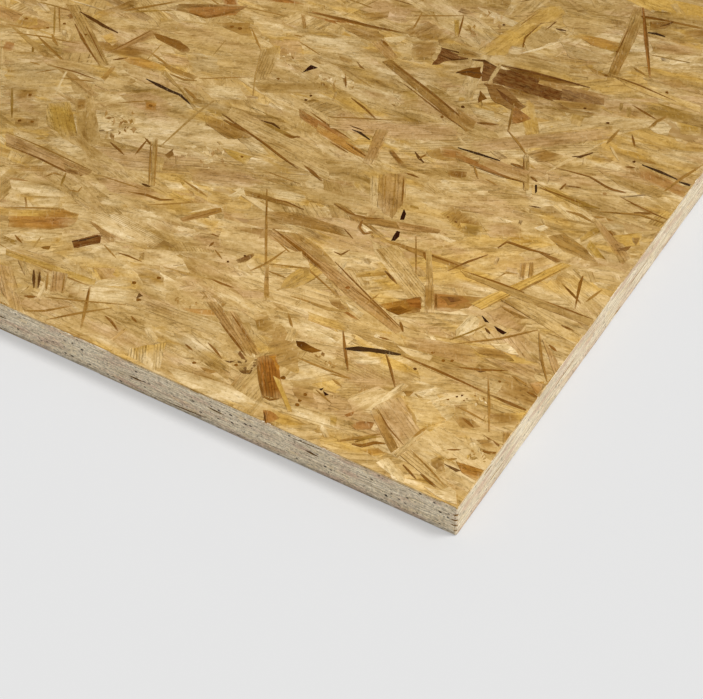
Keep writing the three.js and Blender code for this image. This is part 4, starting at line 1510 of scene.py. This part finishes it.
# shares of the strongest mark that are used
GOLD_SHARE = 0.9
PINK_SHARE = 0.8
RING_SHARE = 0.8
CRACK_SHARE = 0.4
DARK_CROSS_SHARE = 0.7
PALE_CROSS_SHARE = 0.36
PAINTED_SKIRT_SHADE_SHARE = 0.5
HELD_SHARE = 0.6

# how the mat's colour comes in at a strand's ends and sides
FRAY_AT_END = 0.9
FRAY_AT_SIDE = 0.8
FADE_FROM = -0.05
LEAST_FADE = 0.2
SOFT_FADE = 0.5

# painted light on the mat: brighter at the near corner and darker further in, fading out further off; and
# soft tone patches
PAINTED_LIGHT_SWING = 0.11
PAINTED_LIGHT_PERIOD = 680.0
PAINTED_LIGHT_REACH = 700.0
PAINTED_LIGHT_TURN = math.radians(122.0)
PATCH_SHARE = 0.46
PATCH_BASE = 0.78

# how far each mark darkens the wood: a share for tint or fine_tint
DRIFT_PALE = 1.2
DRIFT_DARK = 0.68
RING_DARK = 0.50
CRACK_DARK = 0.52
FLECK_DARK = 0.52
# these two are painted shade: the shadow line along a strand's side, and the plate's sloping sides
PAINTED_RIM_SHADE_DARK = 0.24
PAINTED_SKIRT_SHADE_DARK = 0.5

END_FADE = 18.0
RING_SHARPNESS = 4.5
FLAKE_LIGHT = 0.28
LEAST_LIGHT = 0.2
# shares of the noises in the strands' lightness, and what is added so that it averages 1
LIGHT_SHARES = dict(fibre=0.18, streak=0.34, speck=0.56, press=0.44)
LIGHT_BASE = 0.24
# how high each noise stands in the relief, against the fibres' 1
RELIEF = dict(streak=0.8, drift=2.0, press=1.2, marks=0.8)
WOOD_BUMP = 0.00022
WOOD_BUMP_SHARE = 0.9
WOOD_SPECULAR = 0.02


def face_axes(n):
    """Gives coordinates on the sheet, turned and scaled, for textures shared by all strands."""
    x, y, _ = n.split(n.coordinates())
    x = n.math("SUBTRACT", n.math("MULTIPLY", x, 1.0 / MM), NEAR_CORNER.x)
    y = n.math("SUBTRACT", n.math("MULTIPLY", y, 1.0 / MM), NEAR_CORNER.y)

    def turned(angle, per_along, per_across, shift):
        cos, sin = math.cos(angle), math.sin(angle)
        along = n.math("ADD", n.math("MULTIPLY", x, cos), n.math("MULTIPLY", y, sin))
        across = n.math("SUBTRACT", n.math("MULTIPLY", y, cos), n.math("MULTIPLY", x, sin))
        return n.join(n.math("MULTIPLY", along, per_along), n.math("MULTIPLY", across, per_across), shift)

    return x, y, turned


def sheet_noise(n, turned, grain, angle=MAT_TURN):
    """A noise that runs on over neighbouring strands, at an angle to the sheet's long side."""
    return n.noise(turned(angle, grain.along, grain.across, grain.shift), grain.detail, grain.rough)


def painted_light_and_tone_patches(n, x, y, turned):
    """Painted light: the mat is made lighter at the near corner and darker further in; further off it is
    even, with soft tone patches.
    """
    away = n.math("ADD", n.math("MULTIPLY", x, x), n.math("MULTIPLY", y, y))
    away = n.math("DIVIDE", away, PAINTED_LIGHT_REACH**2)
    fade = n.math("EXPONENT", n.math("MULTIPLY", n.math("MULTIPLY", away, away), -1.0))
    along = n.split(turned(PAINTED_LIGHT_TURN, math.tau / PAINTED_LIGHT_PERIOD, 0.0, 0.0))[0]
    # painted light: a swing of brightness along one direction, fading away from the near corner
    swing = n.math("MULTIPLY", n.math("COSINE", along), n.math("MULTIPLY", fade, PAINTED_LIGHT_SWING))
    patch = n.math("MULTIPLY", sheet_noise(n, turned, MAT_PATCH), PATCH_SHARE)
    return n.math("ADD", swing, n.math("ADD", patch, PATCH_BASE))


def mat_colour(n, turned):
    """The colour that neighbouring strands share, so that they read as one pressed surface."""
    depth = sheet_noise(n, turned, MAT_DEPTH)
    hue = sheet_noise(n, turned, MAT_HUE)
    colour = n.mix(n.ramp(depth, *TAN_BAND), linear(OLIVE), linear(TAN))
    colour = n.mix(n.ramp(depth, *CREAM_BAND), colour, linear(CREAM))
    colour = n.mix(n.math("MULTIPLY", n.ramp(hue, *GOLD_BAND), GOLD_SHARE), colour, linear(GOLD))
    return n.mix(n.math("MULTIPLY", n.ramp(hue, *PINK_BAND), PINK_SHARE), colour, linear(PINK))


class Wood(Nodes):
    """The strands' material: their own attributes and places along their grain, as sockets."""

    def __init__(self, name):
        super().__init__(name)
        self.u, self.v, self.seed = self.split(self.attribute("grain"))
        self.figure, self.pitch, self.mottle = self.split(self.attribute("look"))
        # the painted shade line along one side, and the painted shade on the plate's sloping sides
        self.rim_gap, self.rim_share, self.painted_skirt_shade = self.split(self.attribute("rim"))
        self.reach, self.half, self.hold = self.split(self.attribute("size"))
        self.crisp, self.blend, _ = self.split(self.attribute("edge"))
        self.second = self.attribute("second")
        self.x, self.y, self.turned = face_axes(self)
        self.w = self.wandering_v()
        # a strand that keeps its own colour fully has fewer loose flakes and pale flecks
        held = self.math("MULTIPLY", self.ramp(self.hold, *LOOSE_BAND), HELD_SHARE)
        self.loose = self.math("SUBTRACT", 1.0, held)

    def wandering_v(self):
        """The place across the strand, with the grain wandering a little inside it."""
        place = self.join(self.math("MULTIPLY", self.u, WANDER[0]),
                          self.math("MULTIPLY", self.v, WANDER[1]), self.seed)
        wander = self.math("SUBTRACT", self.noise(place), 0.5)
        return self.math("ADD", self.v, self.math("MULTIPLY", wander, WANDER_WIDTH))

    def grain_noise(self, grain):
        """A noise that follows the strand's own grain."""
        place = self.join(self.math("MULTIPLY", self.u, grain.along),
                          self.math("MULTIPLY", self.w, grain.across),
                          self.math("ADD", self.seed, grain.shift))
        return self.noise(place, grain.detail, grain.rough)

    def darker(self, colour, factor, share, shade=tint):
        return self.mix(factor, colour, self.mix(1.0, colour, shade(share), "MULTIPLY"))


def own_colour(n):
    """One tone turns into the other along the strand; the mat's colour comes in at ends and sides."""
    turning = n.math("MULTIPLY", n.math("SUBTRACT", n.grain_noise(TURNING), 0.5), 2.0)
    turning = n.math("ADD", n.math("DIVIDE", n.u, n.reach), turning)
    turned = n.math("MULTIPLY", n.ramp(turning, *TURNING_BAND), n.blend)
    tone = n.mix(turned, n.attribute("tone"), n.second)
    fray = n.math("SUBTRACT", n.grain_noise(FRAY), 0.5)
    short = n.math("MINIMUM", n.reach, END_FADE)
    end_gap = n.math("DIVIDE", n.math("SUBTRACT", n.reach, n.math("ABSOLUTE", n.u)), short)
    side_gap = n.math("SUBTRACT", 1.0, n.math("DIVIDE", n.math("ABSOLUTE", n.v), n.half))
    end_gap = n.math("ADD", end_gap, n.math("MULTIPLY", fray, FRAY_AT_END))
    side_gap = n.math("ADD", side_gap, n.math("MULTIPLY", fray, FRAY_AT_SIDE))
    soft = n.math("SUBTRACT", 1.0, n.crisp)
    fade = n.math("ADD", n.math("MULTIPLY", soft, SOFT_FADE), LEAST_FADE)
    inner = n.math("MULTIPLY", n.ramp(end_gap, FADE_FROM, fade, n.crisp),
                   n.ramp(side_gap, FADE_FROM, fade, n.crisp))
    return n.mix(n.math("MULTIPLY", n.hold, inner), mat_colour(n, n.turned), tone)


def drifted(n, colour, drift):
    """Colour that drifts inside the strand."""
    paler = n.mix(1.0, colour, tint(DRIFT_PALE), "MULTIPLY")
    colour = n.mix(n.ramp(drift, *DRIFT_PALE_BAND), colour, paler)
    return n.darker(colour, n.ramp(drift, *DRIFT_DARK_BAND), DRIFT_DARK)


def small_flakes(n):
    """Small flakes on the strand that are lighter or darker than it, each by a chance of its own."""
    crumple = n.math("MULTIPLY", n.grain_noise(CRUMPLE), CRUMPLE_SHARE)
    place = n.join(n.math("ADD", n.math("MULTIPLY", n.u, FLAKE_CELLS.along), crumple),
                   n.math("ADD", n.math("MULTIPLY", n.w, FLAKE_CELLS.across), crumple),
                   n.math("ADD", n.seed, FLAKE_CELLS.shift))
    chance = n.split(n.cells(place)[1])[0]
    return n.math("MULTIPLY", n.math("SUBTRACT", chance, 0.5), n.math("MULTIPLY", n.loose, FLAKE_LIGHT))


def lit(n, colour, noises):
    """The colour times the lightness of fibres, streaks, specks, the pressed surface and flakes."""
    light = None
    for name, share in LIGHT_SHARES.items():
        part = n.math("MULTIPLY", noises[name], share)
        light = part if light is None else n.math("ADD", light, part)
    light = n.math("ADD", n.math("ADD", light, LIGHT_BASE), small_flakes(n))
    light = n.math("MAXIMUM", light, LEAST_LIGHT)
    warm = n.join(light, n.math("POWER", light, FINE_GREEN_POWER),
                  n.math("POWER", light, FINE_BLUE_POWER))
    return n.mix(1.0, colour, warm, "MULTIPLY")


def growth_rings(n):
    """Thin dark lines that come and go along the strand."""
    place = n.join(n.math("MULTIPLY", n.u, RING_WAVER[0]),
                   n.math("MULTIPLY", n.v, RING_WAVER[1]), n.seed)
    waver = n.math("MULTIPLY", n.noise(place, 1.0), RING_WAVER_SHARE)
    phase = n.math("ADD", n.math("DIVIDE", n.v, n.pitch), waver)
    ring = n.math("POWER", n.math("FRACT", phase), RING_SHARPNESS)
    shown = n.ramp(n.grain_noise(RING_PLACES), *RING_BAND)
    return n.math("MULTIPLY", n.math("MULTIPLY", ring, n.figure), shown)


def cracks_and_pores(n):
    """Cracks that wander along the grain, and short pores."""
    away = n.math("ABSOLUTE", n.math("SUBTRACT", n.grain_noise(CRACK), 0.5))
    crack = n.ramp(away, *CRACK_WIDTH_BAND)
    crack = n.math("MULTIPLY", crack, n.ramp(n.grain_noise(CRACK_PLACES), *CRACK_BAND))
    return n.math("MAXIMUM", crack, n.ramp(n.grain_noise(PORE), *PORE_BAND))


def flecks(n):
    """Short dark and pale flecks, along the grain and across it."""
    dark = n.ramp(n.grain_noise(DARK_FLECK), *DARK_FLECK_BAND)
    where = sheet_noise(n, n.turned, CROSS_PLACES)
    dark_cross = n.ramp(sheet_noise(n, n.turned, DARK_CROSS, DARK_CROSS_TURN), *DARK_CROSS_BAND)
    dark_cross = n.math("MULTIPLY", dark_cross, n.ramp(where, *DARK_CROSS_PLACES))
    pale_cross = n.ramp(sheet_noise(n, n.turned, PALE_CROSS, PALE_CROSS_TURN), *PALE_CROSS_BAND)
    pale_cross = n.math("MULTIPLY", pale_cross, n.ramp(where, *PALE_CROSS_PLACES))
    dark = n.math("MAXIMUM", dark, n.math("MULTIPLY", dark_cross, DARK_CROSS_SHARE))
    return dark, n.math("MULTIPLY", pale_cross, n.math("MULTIPLY", n.loose, PALE_CROSS_SHARE))


def with_painted_rim_shade(n, colour):
    """Painted shade: a shadow line along one side of the strand, and painted shade on the plate's sloping
    sides.
    """
    rim = n.math("MULTIPLY", n.ramp(n.rim_gap, *PAINTED_RIM_SHADE_BAND), n.rim_share)
    rim = n.math("MULTIPLY", rim, n.ramp(n.grain_noise(PAINTED_RIM_SHADE_PLACES), *PAINTED_RIM_SHADE_PLACES_BAND))
    colour = n.darker(colour, rim, PAINTED_RIM_SHADE_DARK)
    # painted shade on the plate's sloping sides, darker towards the foot
    painted_slope_shade = n.math("MULTIPLY", n.painted_skirt_shade, n.math("MULTIPLY", n.crisp, PAINTED_SKIRT_SHADE_SHARE))
    return n.darker(colour, painted_slope_shade, PAINTED_SKIRT_SHADE_DARK)


def strand_material():
    """Wood grain that follows each strand: fibres, growth rings, cracks, flecks and blotches; with a
    painted shade line along one side, painted shade on the sloping sides and painted light near the
    corner.
    """
    n = Wood("osb_strands")
    drift = n.grain_noise(DRIFT)
    noises = dict(fibre=n.grain_noise(FIBRE), streak=n.grain_noise(STREAK), speck=n.grain_noise(SPECK),
                  press=sheet_noise(n, n.turned, PRESSED))
    rings, cracks, (dark_fleck, pale_fleck) = growth_rings(n), cracks_and_pores(n), flecks(n)

    colour = lit(n, drifted(n, own_colour(n), drift), noises)
    colour = n.darker(colour, n.math("MULTIPLY", rings, RING_SHARE, True), RING_DARK, fine_tint)
    colour = n.darker(colour, n.math("MULTIPLY", cracks, CRACK_SHARE), CRACK_DARK, fine_tint)
    colour = n.darker(colour, dark_fleck, FLECK_DARK, fine_tint)
    colour = n.mix(pale_fleck, colour, linear(CREAM))
    patches = n.ramp(n.grain_noise(MOTTLING), *MOTTLING_BAND)
    colour = n.mix(n.math("MULTIPLY", patches, n.mottle), colour, n.second)
    # painted light near the corner, and the tone patches, multiply the whole colour
    colour = n.mix(1.0, with_painted_rim_shade(n, colour), painted_light_and_tone_patches(n, n.x, n.y, n.turned), "MULTIPLY")

    height = n.math("ADD", noises["fibre"], n.math("MULTIPLY", noises["streak"], RELIEF["streak"]))
    height = n.math("SUBTRACT", height, rings)
    height = n.math("ADD", height, n.math("MULTIPLY", drift, RELIEF["drift"]))
    height = n.math("ADD", height, n.math("MULTIPLY", noises["press"], RELIEF["press"]))
    marks = n.math("MULTIPLY", n.math("ADD", dark_fleck, cracks), RELIEF["marks"])
    return n.finish(colour, n.ramp(noises["fibre"], *WOOD_ROUGHNESS),
                    n.bump(n.math("SUBTRACT", height, marks), WOOD_BUMP, WOOD_BUMP_SHARE), WOOD_SPECULAR)


# ---------------------------------------------------------------- the sawn edges' material
SAWN_LIGHT = (247, 232, 202)
SAWN_MID = (215, 197, 165)
SAWN_DARK = (142, 120, 92)
SAWN_PINK = (216, 184, 156)
SAWN_YELLOW = (238, 213, 164)
SAWN_PIT_SHADE = (50, 36, 28)

# noises along an edge and up it
SAWN_WAVE = (0.02, 0.09)
SAWN_WAVE_HEIGHT = 2.4
LAYERS = Grain(0.05, 0.95, 1.0, 2.0, 0.6)
SAWN_FIBRES = Grain(0.22, 1.9, 5.0, 3.0, 0.65)
SAWN_PATCH = Grain(0.05, 0.20, 9.0, 3.0)
SAWN_WARM = Grain(0.11, 0.30, 35.0, 3.0, 0.6)
GRIT = Grain(0.55, 0.85, 13.0, 3.0, 0.75)
PIT_PLACES = Grain(0.06, 0.30, 25.0)
PIT_CELLS = Grain(0.30, 0.52, 41.0)
FINE_PIT = Grain(0.75, 1.1, 3.0, 2.0, 0.6)
DASH = Grain(0.30, 1.5, 21.0, 3.0, 0.6)
SEAM = Grain(0.05, 1.6, 17.0, 1.0)
FOOT = Grain(0.14, 0.6, 61.0, 3.0, 0.7)

LAYERS_BAND = (0.36, 0.62)
SAWN_PATCH_BAND = (0.46, 0.68, 0.0, 0.8)
SAWN_WARM_BAND = (0.52, 0.70, 0.0, 0.55)
CROWD_BAND = (0.36, 0.58)
PIT_BAND = (0.16, 0.30, 1.0, 0.0)
FINE_PIT_BAND = (0.63, 0.68)
SEAM_BAND = (0.62, 0.69)
SEAM_SHARE = 0.6
DASH_BAND = (0.57, 0.68, 0.0, 0.9)
SAWN_ROUGHNESS = (0.3, 0.7, 0.72, 0.88)

# a normal's share along an axis above which a face counts as an end or a broad face
END_NORMAL = 0.6
FACE_NORMAL = 0.8
SIDE_SHIFTS = (37.0, 71.0)

# painted light: the sheet's ends face the light, so their colour is made a little paler and their marks
# fainter
END_PAINTED_LIGHT = 1.04
PAINTED_LIT_END_MARKS = 0.5
END_PAINTED_FOOT_SHADE = 0.35
PIT_CHOSEN_OVER = 0.62
SAWN_LIGHT_SHARES = (0.8, 1.9)
SAWN_LIGHT_MIDDLE = 1.35
# painted shade at the foot of the sawn edges, weaker on the lit ends
FOOT_SHADE = (0.74, 0.76, 0.82)
FOOT_BAND = (2.2, 5.2, 1.0, 0.0)
FOOT_UNEVEN = 4.0
# painted shade for the broad faces, seen only through gaps between strands
PAINTED_GAP_SHADE = (0.72, 0.66, 0.58)
LAYER_RELIEF = 0.8
SAWN_BUMP = 0.00025
SAWN_BUMP_SHARE = 0.7
SAWN_SPECULAR = 0.1


class Sawn(Nodes):
    """The sheet's material: places along an edge and up it, in millimetres, as sockets."""

    def __init__(self, name):
        super().__init__(name)
        x, y, z = self.split(self.coordinates())
        nx, ny, nz = self.split(self.tree.nodes.new("ShaderNodeNewGeometry").outputs["True Normal"])
        self.on_end = self.math("GREATER_THAN", self.math("ABSOLUTE", nx), END_NORMAL)
        self.on_face = self.math("GREATER_THAN", self.math("ABSOLUTE", nz), FACE_NORMAL)
        self.run = self.math("MULTIPLY", self.choose(self.on_end, x, y), 1.0 / MM)
        self.high = self.math("MULTIPLY", z, 1.0 / MM)
        # each side of the sheet has noises of its own
        self.side = self.math("ADD", self.math("MULTIPLY", nx, SIDE_SHIFTS[0]),
                              self.math("MULTIPLY", ny, SIDE_SHIFTS[1]))
        wave = self.join(self.math("MULTIPLY", self.run, SAWN_WAVE[0]),
                         self.math("MULTIPLY", self.high, SAWN_WAVE[1]), self.side)
        wave = self.math("MULTIPLY", self.noise(wave), SAWN_WAVE_HEIGHT)
        self.level = self.math("ADD", self.high, wave)

    def choose(self, share, a, b):
        made = self.tree.nodes.new("ShaderNodeMix")
        made.data_type = "FLOAT"
        for socket, value in (("Factor", share), ("A", a), ("B", b)):
            self.put(made.inputs[socket], value)
        return made.outputs["Result"]

    def place(self, grain):
        return self.join(self.math("MULTIPLY", self.run, grain.along),
                         self.math("MULTIPLY", self.level, grain.across),
                         self.math("ADD", self.side, grain.shift))

    def edge_noise(self, grain):
        return self.noise(self.place(grain), grain.detail, grain.rough)

    def on_ends(self, value):
        """1 on the long edges and the value on the ends."""
        return self.ramp(self.on_end, 0.0, 1.0, 1.0, value)


def painted_pit_shade(n):
    """Painted shade for small voids in the sawn edge: dark pits in some cells of a pattern, and finer
    ones, both in crowds.
    """
    crowd = n.ramp(n.edge_noise(PIT_PLACES), *CROWD_BAND)
    spot, spot_colour = n.cells(n.place(PIT_CELLS))
    chosen = n.math("GREATER_THAN", n.split(spot_colour)[0], PIT_CHOSEN_OVER)
    pit = n.math("MULTIPLY", n.ramp(spot, *PIT_BAND), n.math("MULTIPLY", chosen, crowd))
    fine = n.math("MULTIPLY", n.ramp(n.edge_noise(FINE_PIT), *FINE_PIT_BAND), crowd)
    return n.math("MAXIMUM", pit, fine)


def sawn_wood(n, layers, fibres, rough):
    """The cut layers' colours under the light of fibres and grit."""
    colour = n.mix(n.ramp(layers, *LAYERS_BAND), linear(SAWN_MID), linear(SAWN_LIGHT))
    colour = n.mix(n.ramp(n.edge_noise(SAWN_PATCH), *SAWN_PATCH_BAND), colour, linear(SAWN_PINK))
    colour = n.mix(n.ramp(n.edge_noise(SAWN_WARM), *SAWN_WARM_BAND), colour, linear(SAWN_YELLOW))
    light = n.math("ADD", n.math("MULTIPLY", fibres, SAWN_LIGHT_SHARES[0]),
                   n.math("MULTIPLY", n.edge_noise(GRIT), SAWN_LIGHT_SHARES[1]))
    light = n.math("MULTIPLY", n.math("SUBTRACT", light, SAWN_LIGHT_MIDDLE), rough)
    light = n.math("MAXIMUM", n.math("ADD", light, 1.0), LEAST_LIGHT)
    # the ends' colour is made paler: painted light
    return n.mix(1.0, colour, n.math("MULTIPLY", light, n.on_ends(END_PAINTED_LIGHT)), "MULTIPLY")


def painted_foot_shade(n):
    """Painted shade where the edge is shaded by the floor, up to an uneven height."""
    level = n.math("ADD", n.high, n.math("MULTIPLY", n.edge_noise(FOOT), FOOT_UNEVEN))
    return n.math("MULTIPLY", n.ramp(level, *FOOT_BAND), n.on_ends(END_PAINTED_FOOT_SHADE))


def sawn_material():
    """The sheet itself: strands cut through by the saw, in thin layers along the edge."""
    n = Sawn("osb_sawn_edge")
    layers, fibres, pit = n.edge_noise(LAYERS), n.edge_noise(SAWN_FIBRES), painted_pit_shade(n)
    # marks are fainter on the ends: part of the painted light there
    rough = n.on_ends(PAINTED_LIT_END_MARKS)
    colour = sawn_wood(n, layers, fibres, rough)
    seam = n.ramp(n.edge_noise(SEAM), *SEAM_BAND)
    seam = n.math("MULTIPLY", seam, n.math("MULTIPLY", rough, SEAM_SHARE))
    colour = n.mix(seam, colour, linear(SAWN_DARK))
    dash = n.ramp(n.edge_noise(DASH), *DASH_BAND)
    colour = n.mix(n.math("MULTIPLY", dash, rough), colour, linear(SAWN_DARK))
    # dark pits: painted shade standing in for small voids
    colour = n.mix(n.math("MULTIPLY", pit, rough), colour, linear(SAWN_PIT_SHADE))
    # painted shade along the foot of the edge
    colour = n.mix(painted_foot_shade(n), colour, n.mix(1.0, colour, FOOT_SHADE, "MULTIPLY"))
    # the broad faces take the mat's colour darkened: painted shade in the gaps between strands
    under = n.mix(1.0, mat_colour(n, face_axes(n)[2]), PAINTED_GAP_SHADE, "MULTIPLY")
    height = n.math("SUBTRACT", n.math("ADD", fibres, n.math("MULTIPLY", layers, LAYER_RELIEF)), pit)
    return n.finish(n.mix(n.on_face, colour, under), n.ramp(fibres, *SAWN_ROUGHNESS),
                    n.bump(height, SAWN_BUMP, SAWN_BUMP_SHARE), SAWN_SPECULAR)


# ---------------------------------------------------------------- floor and light
GROUND = (229, 229, 229)
FLOOR_GAP = 0.0004
FLOOR_REACH = 60.0
PLAIN_GROUND_SHARE = 0.47
SKY_STRENGTH = 0.42
SUN_STRENGTH = 2.12
SUN_ELEVATION = math.radians(62.0)
SUN_AZIMUTH = math.radians(30.0)
SUN_SPREAD = math.radians(18.0)
FLOOR_GRAIN = 40.0
FLOOR_DEPTH = 0.985
FLOOR_ROUGHNESS = 0.9


def seen_directly(tree):
    """1 where the camera or a mirror-like surface looks at the backdrop, 0 for other light."""
    path = tree.nodes.new("ShaderNodeLightPath")
    share = path.outputs["Is Camera Ray"]
    for other in ("Is Glossy Ray", "Is Transmission Ray"):
        most = tree.nodes.new("ShaderNodeMath")
        most.operation = "MAXIMUM"
        tree.links.new(share, most.inputs[0])
        tree.links.new(path.outputs[other], most.inputs[1])
        share = most.outputs[0]
    return share


def floor_material():
    """Pale ground; part of what the camera sees is its plain colour, which keeps the shadow faint."""
    n = Nodes("floor")
    grain = n.noise(n.coordinates(), 3.0, 0.6, FLOOR_GRAIN)
    shade = tuple(c * FLOOR_DEPTH for c in linear(GROUND))
    n.put(n.shader.inputs["Base Color"], n.mix(grain, shade, linear(GROUND)))
    n.shader.inputs["Roughness"].default_value = FLOOR_ROUGHNESS
    n.shader.inputs["Specular IOR Level"].default_value = 0.0
    plain = n.tree.nodes.new("ShaderNodeEmission")
    plain.inputs["Color"].default_value = (*linear(GROUND), 1.0)
    blend = n.tree.nodes.new("ShaderNodeMixShader")
    share = n.math("MULTIPLY", seen_directly(n.tree), PLAIN_GROUND_SHARE)
    n.tree.links.new(share, blend.inputs[0])
    n.tree.links.new(n.shader.outputs[0], blend.inputs[1])
    n.tree.links.new(plain.outputs[0], blend.inputs[2])
    n.tree.links.new(blend.outputs[0], n.output.inputs[0])
    return n.material


def add_floor():
    mesh = bpy.data.meshes.new("floor")
    r = FLOOR_REACH
    mesh.from_pydata([(-r, -r, 0), (r, -r, 0), (r, r, 0), (-r, r, 0)], [], [(0, 1, 2, 3)])
    mesh.materials.append(floor_material())
    floor = bpy.data.objects.new("floor", mesh)
    floor.location.z = -FLOOR_GAP
    bpy.context.scene.collection.objects.link(floor)


def add_sky():
    """An even pale sky; what the camera sees of it matches the floor."""
    world = bpy.data.worlds.new("studio")
    bpy.context.scene.world = world
    world.use_nodes = True
    tree = world.node_tree
    tree.nodes.clear()
    output = tree.nodes.new("ShaderNodeOutputWorld")
    shown = tree.nodes.new("ShaderNodeBackground")
    shown.inputs["Color"].default_value = (*linear(GROUND), 1.0)
    shown.inputs["Strength"].default_value = 1.0
    lamp = tree.nodes.new("ShaderNodeBackground")
    lamp.inputs["Color"].default_value = (1.0, 1.0, 1.0, 1.0)
    lamp.inputs["Strength"].default_value = SKY_STRENGTH
    choose = tree.nodes.new("ShaderNodeMixShader")
    tree.links.new(seen_directly(tree), choose.inputs[0])
    tree.links.new(lamp.outputs[0], choose.inputs[1])
    tree.links.new(shown.outputs[0], choose.inputs[2])
    tree.links.new(choose.outputs[0], output.inputs[0])


def add_sun():
    """Soft key light from behind the right-hand edge."""
    data = bpy.data.lights.new("key", "SUN")
    data.energy = SUN_STRENGTH
    data.angle = SUN_SPREAD
    sun = bpy.data.objects.new("key", data)
    toward = Vector((
        math.cos(SUN_AZIMUTH) * math.cos(SUN_ELEVATION),
        math.sin(SUN_AZIMUTH) * math.cos(SUN_ELEVATION),
        math.sin(SUN_ELEVATION),
    ))
    sun.rotation_mode = "QUATERNION"
    sun.rotation_quaternion = toward.to_track_quat("Z", "Y")
    bpy.context.scene.collection.objects.link(sun)


# ---------------------------------------------------------------- the two faces
TOP_SEED = 41
BACK_SEED = 77


def top_strands(rng):
    made = []
    for kind in (*[MAT_KIND] * TOP_MAT_LAYERS, MEDIUM_KIND, CHIP_KIND, SLIVER_KIND, ACCENT_KIND,
                 DARK_SLIVER_KIND):
        made += scatter(rng, kind)
    for build, pixels, look in PHOTO_STRANDS:
        made.append(build(rng, pixels, **look))
    return made


def back_strands(rng):
    made = []
    for kind in (*[MAT_KIND] * BACK_MAT_LAYERS, MEDIUM_KIND):
        made += scatter(rng, kind)
    return made


def add_face(name, strands, base, facing, material):
    sheaves = [Sheaf(lane) for lane in range(LANES)]
    lay(sheaves, strands)
    for lane, sheaf in enumerate(sheaves):
        sheaf_object(f"{name}_{lane + 1}", sheaf, base, facing, material)


def main():
    scene = bpy.context.scene
    scene.view_settings.view_transform = "Standard"
    add_camera()
    add_floor()
    add_sky()
    add_sun()
    for lister in (broad_strands, far_left, far_middle, far_right, middle_left, middle_middle,
                   middle_right, near_left, near_middle, near_right):
        lister()
    wood = strand_material()
    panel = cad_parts[SHEET]
    sawn = sawn_material()
    for slot in panel.material_slots:
        slot.material = sawn
    add_face("face_strands", top_strands(random.Random(TOP_SEED)), THICKNESS, 1, wood)
    add_face("back_strands", back_strands(random.Random(BACK_SEED)), 0.0, -1, wood)


main()
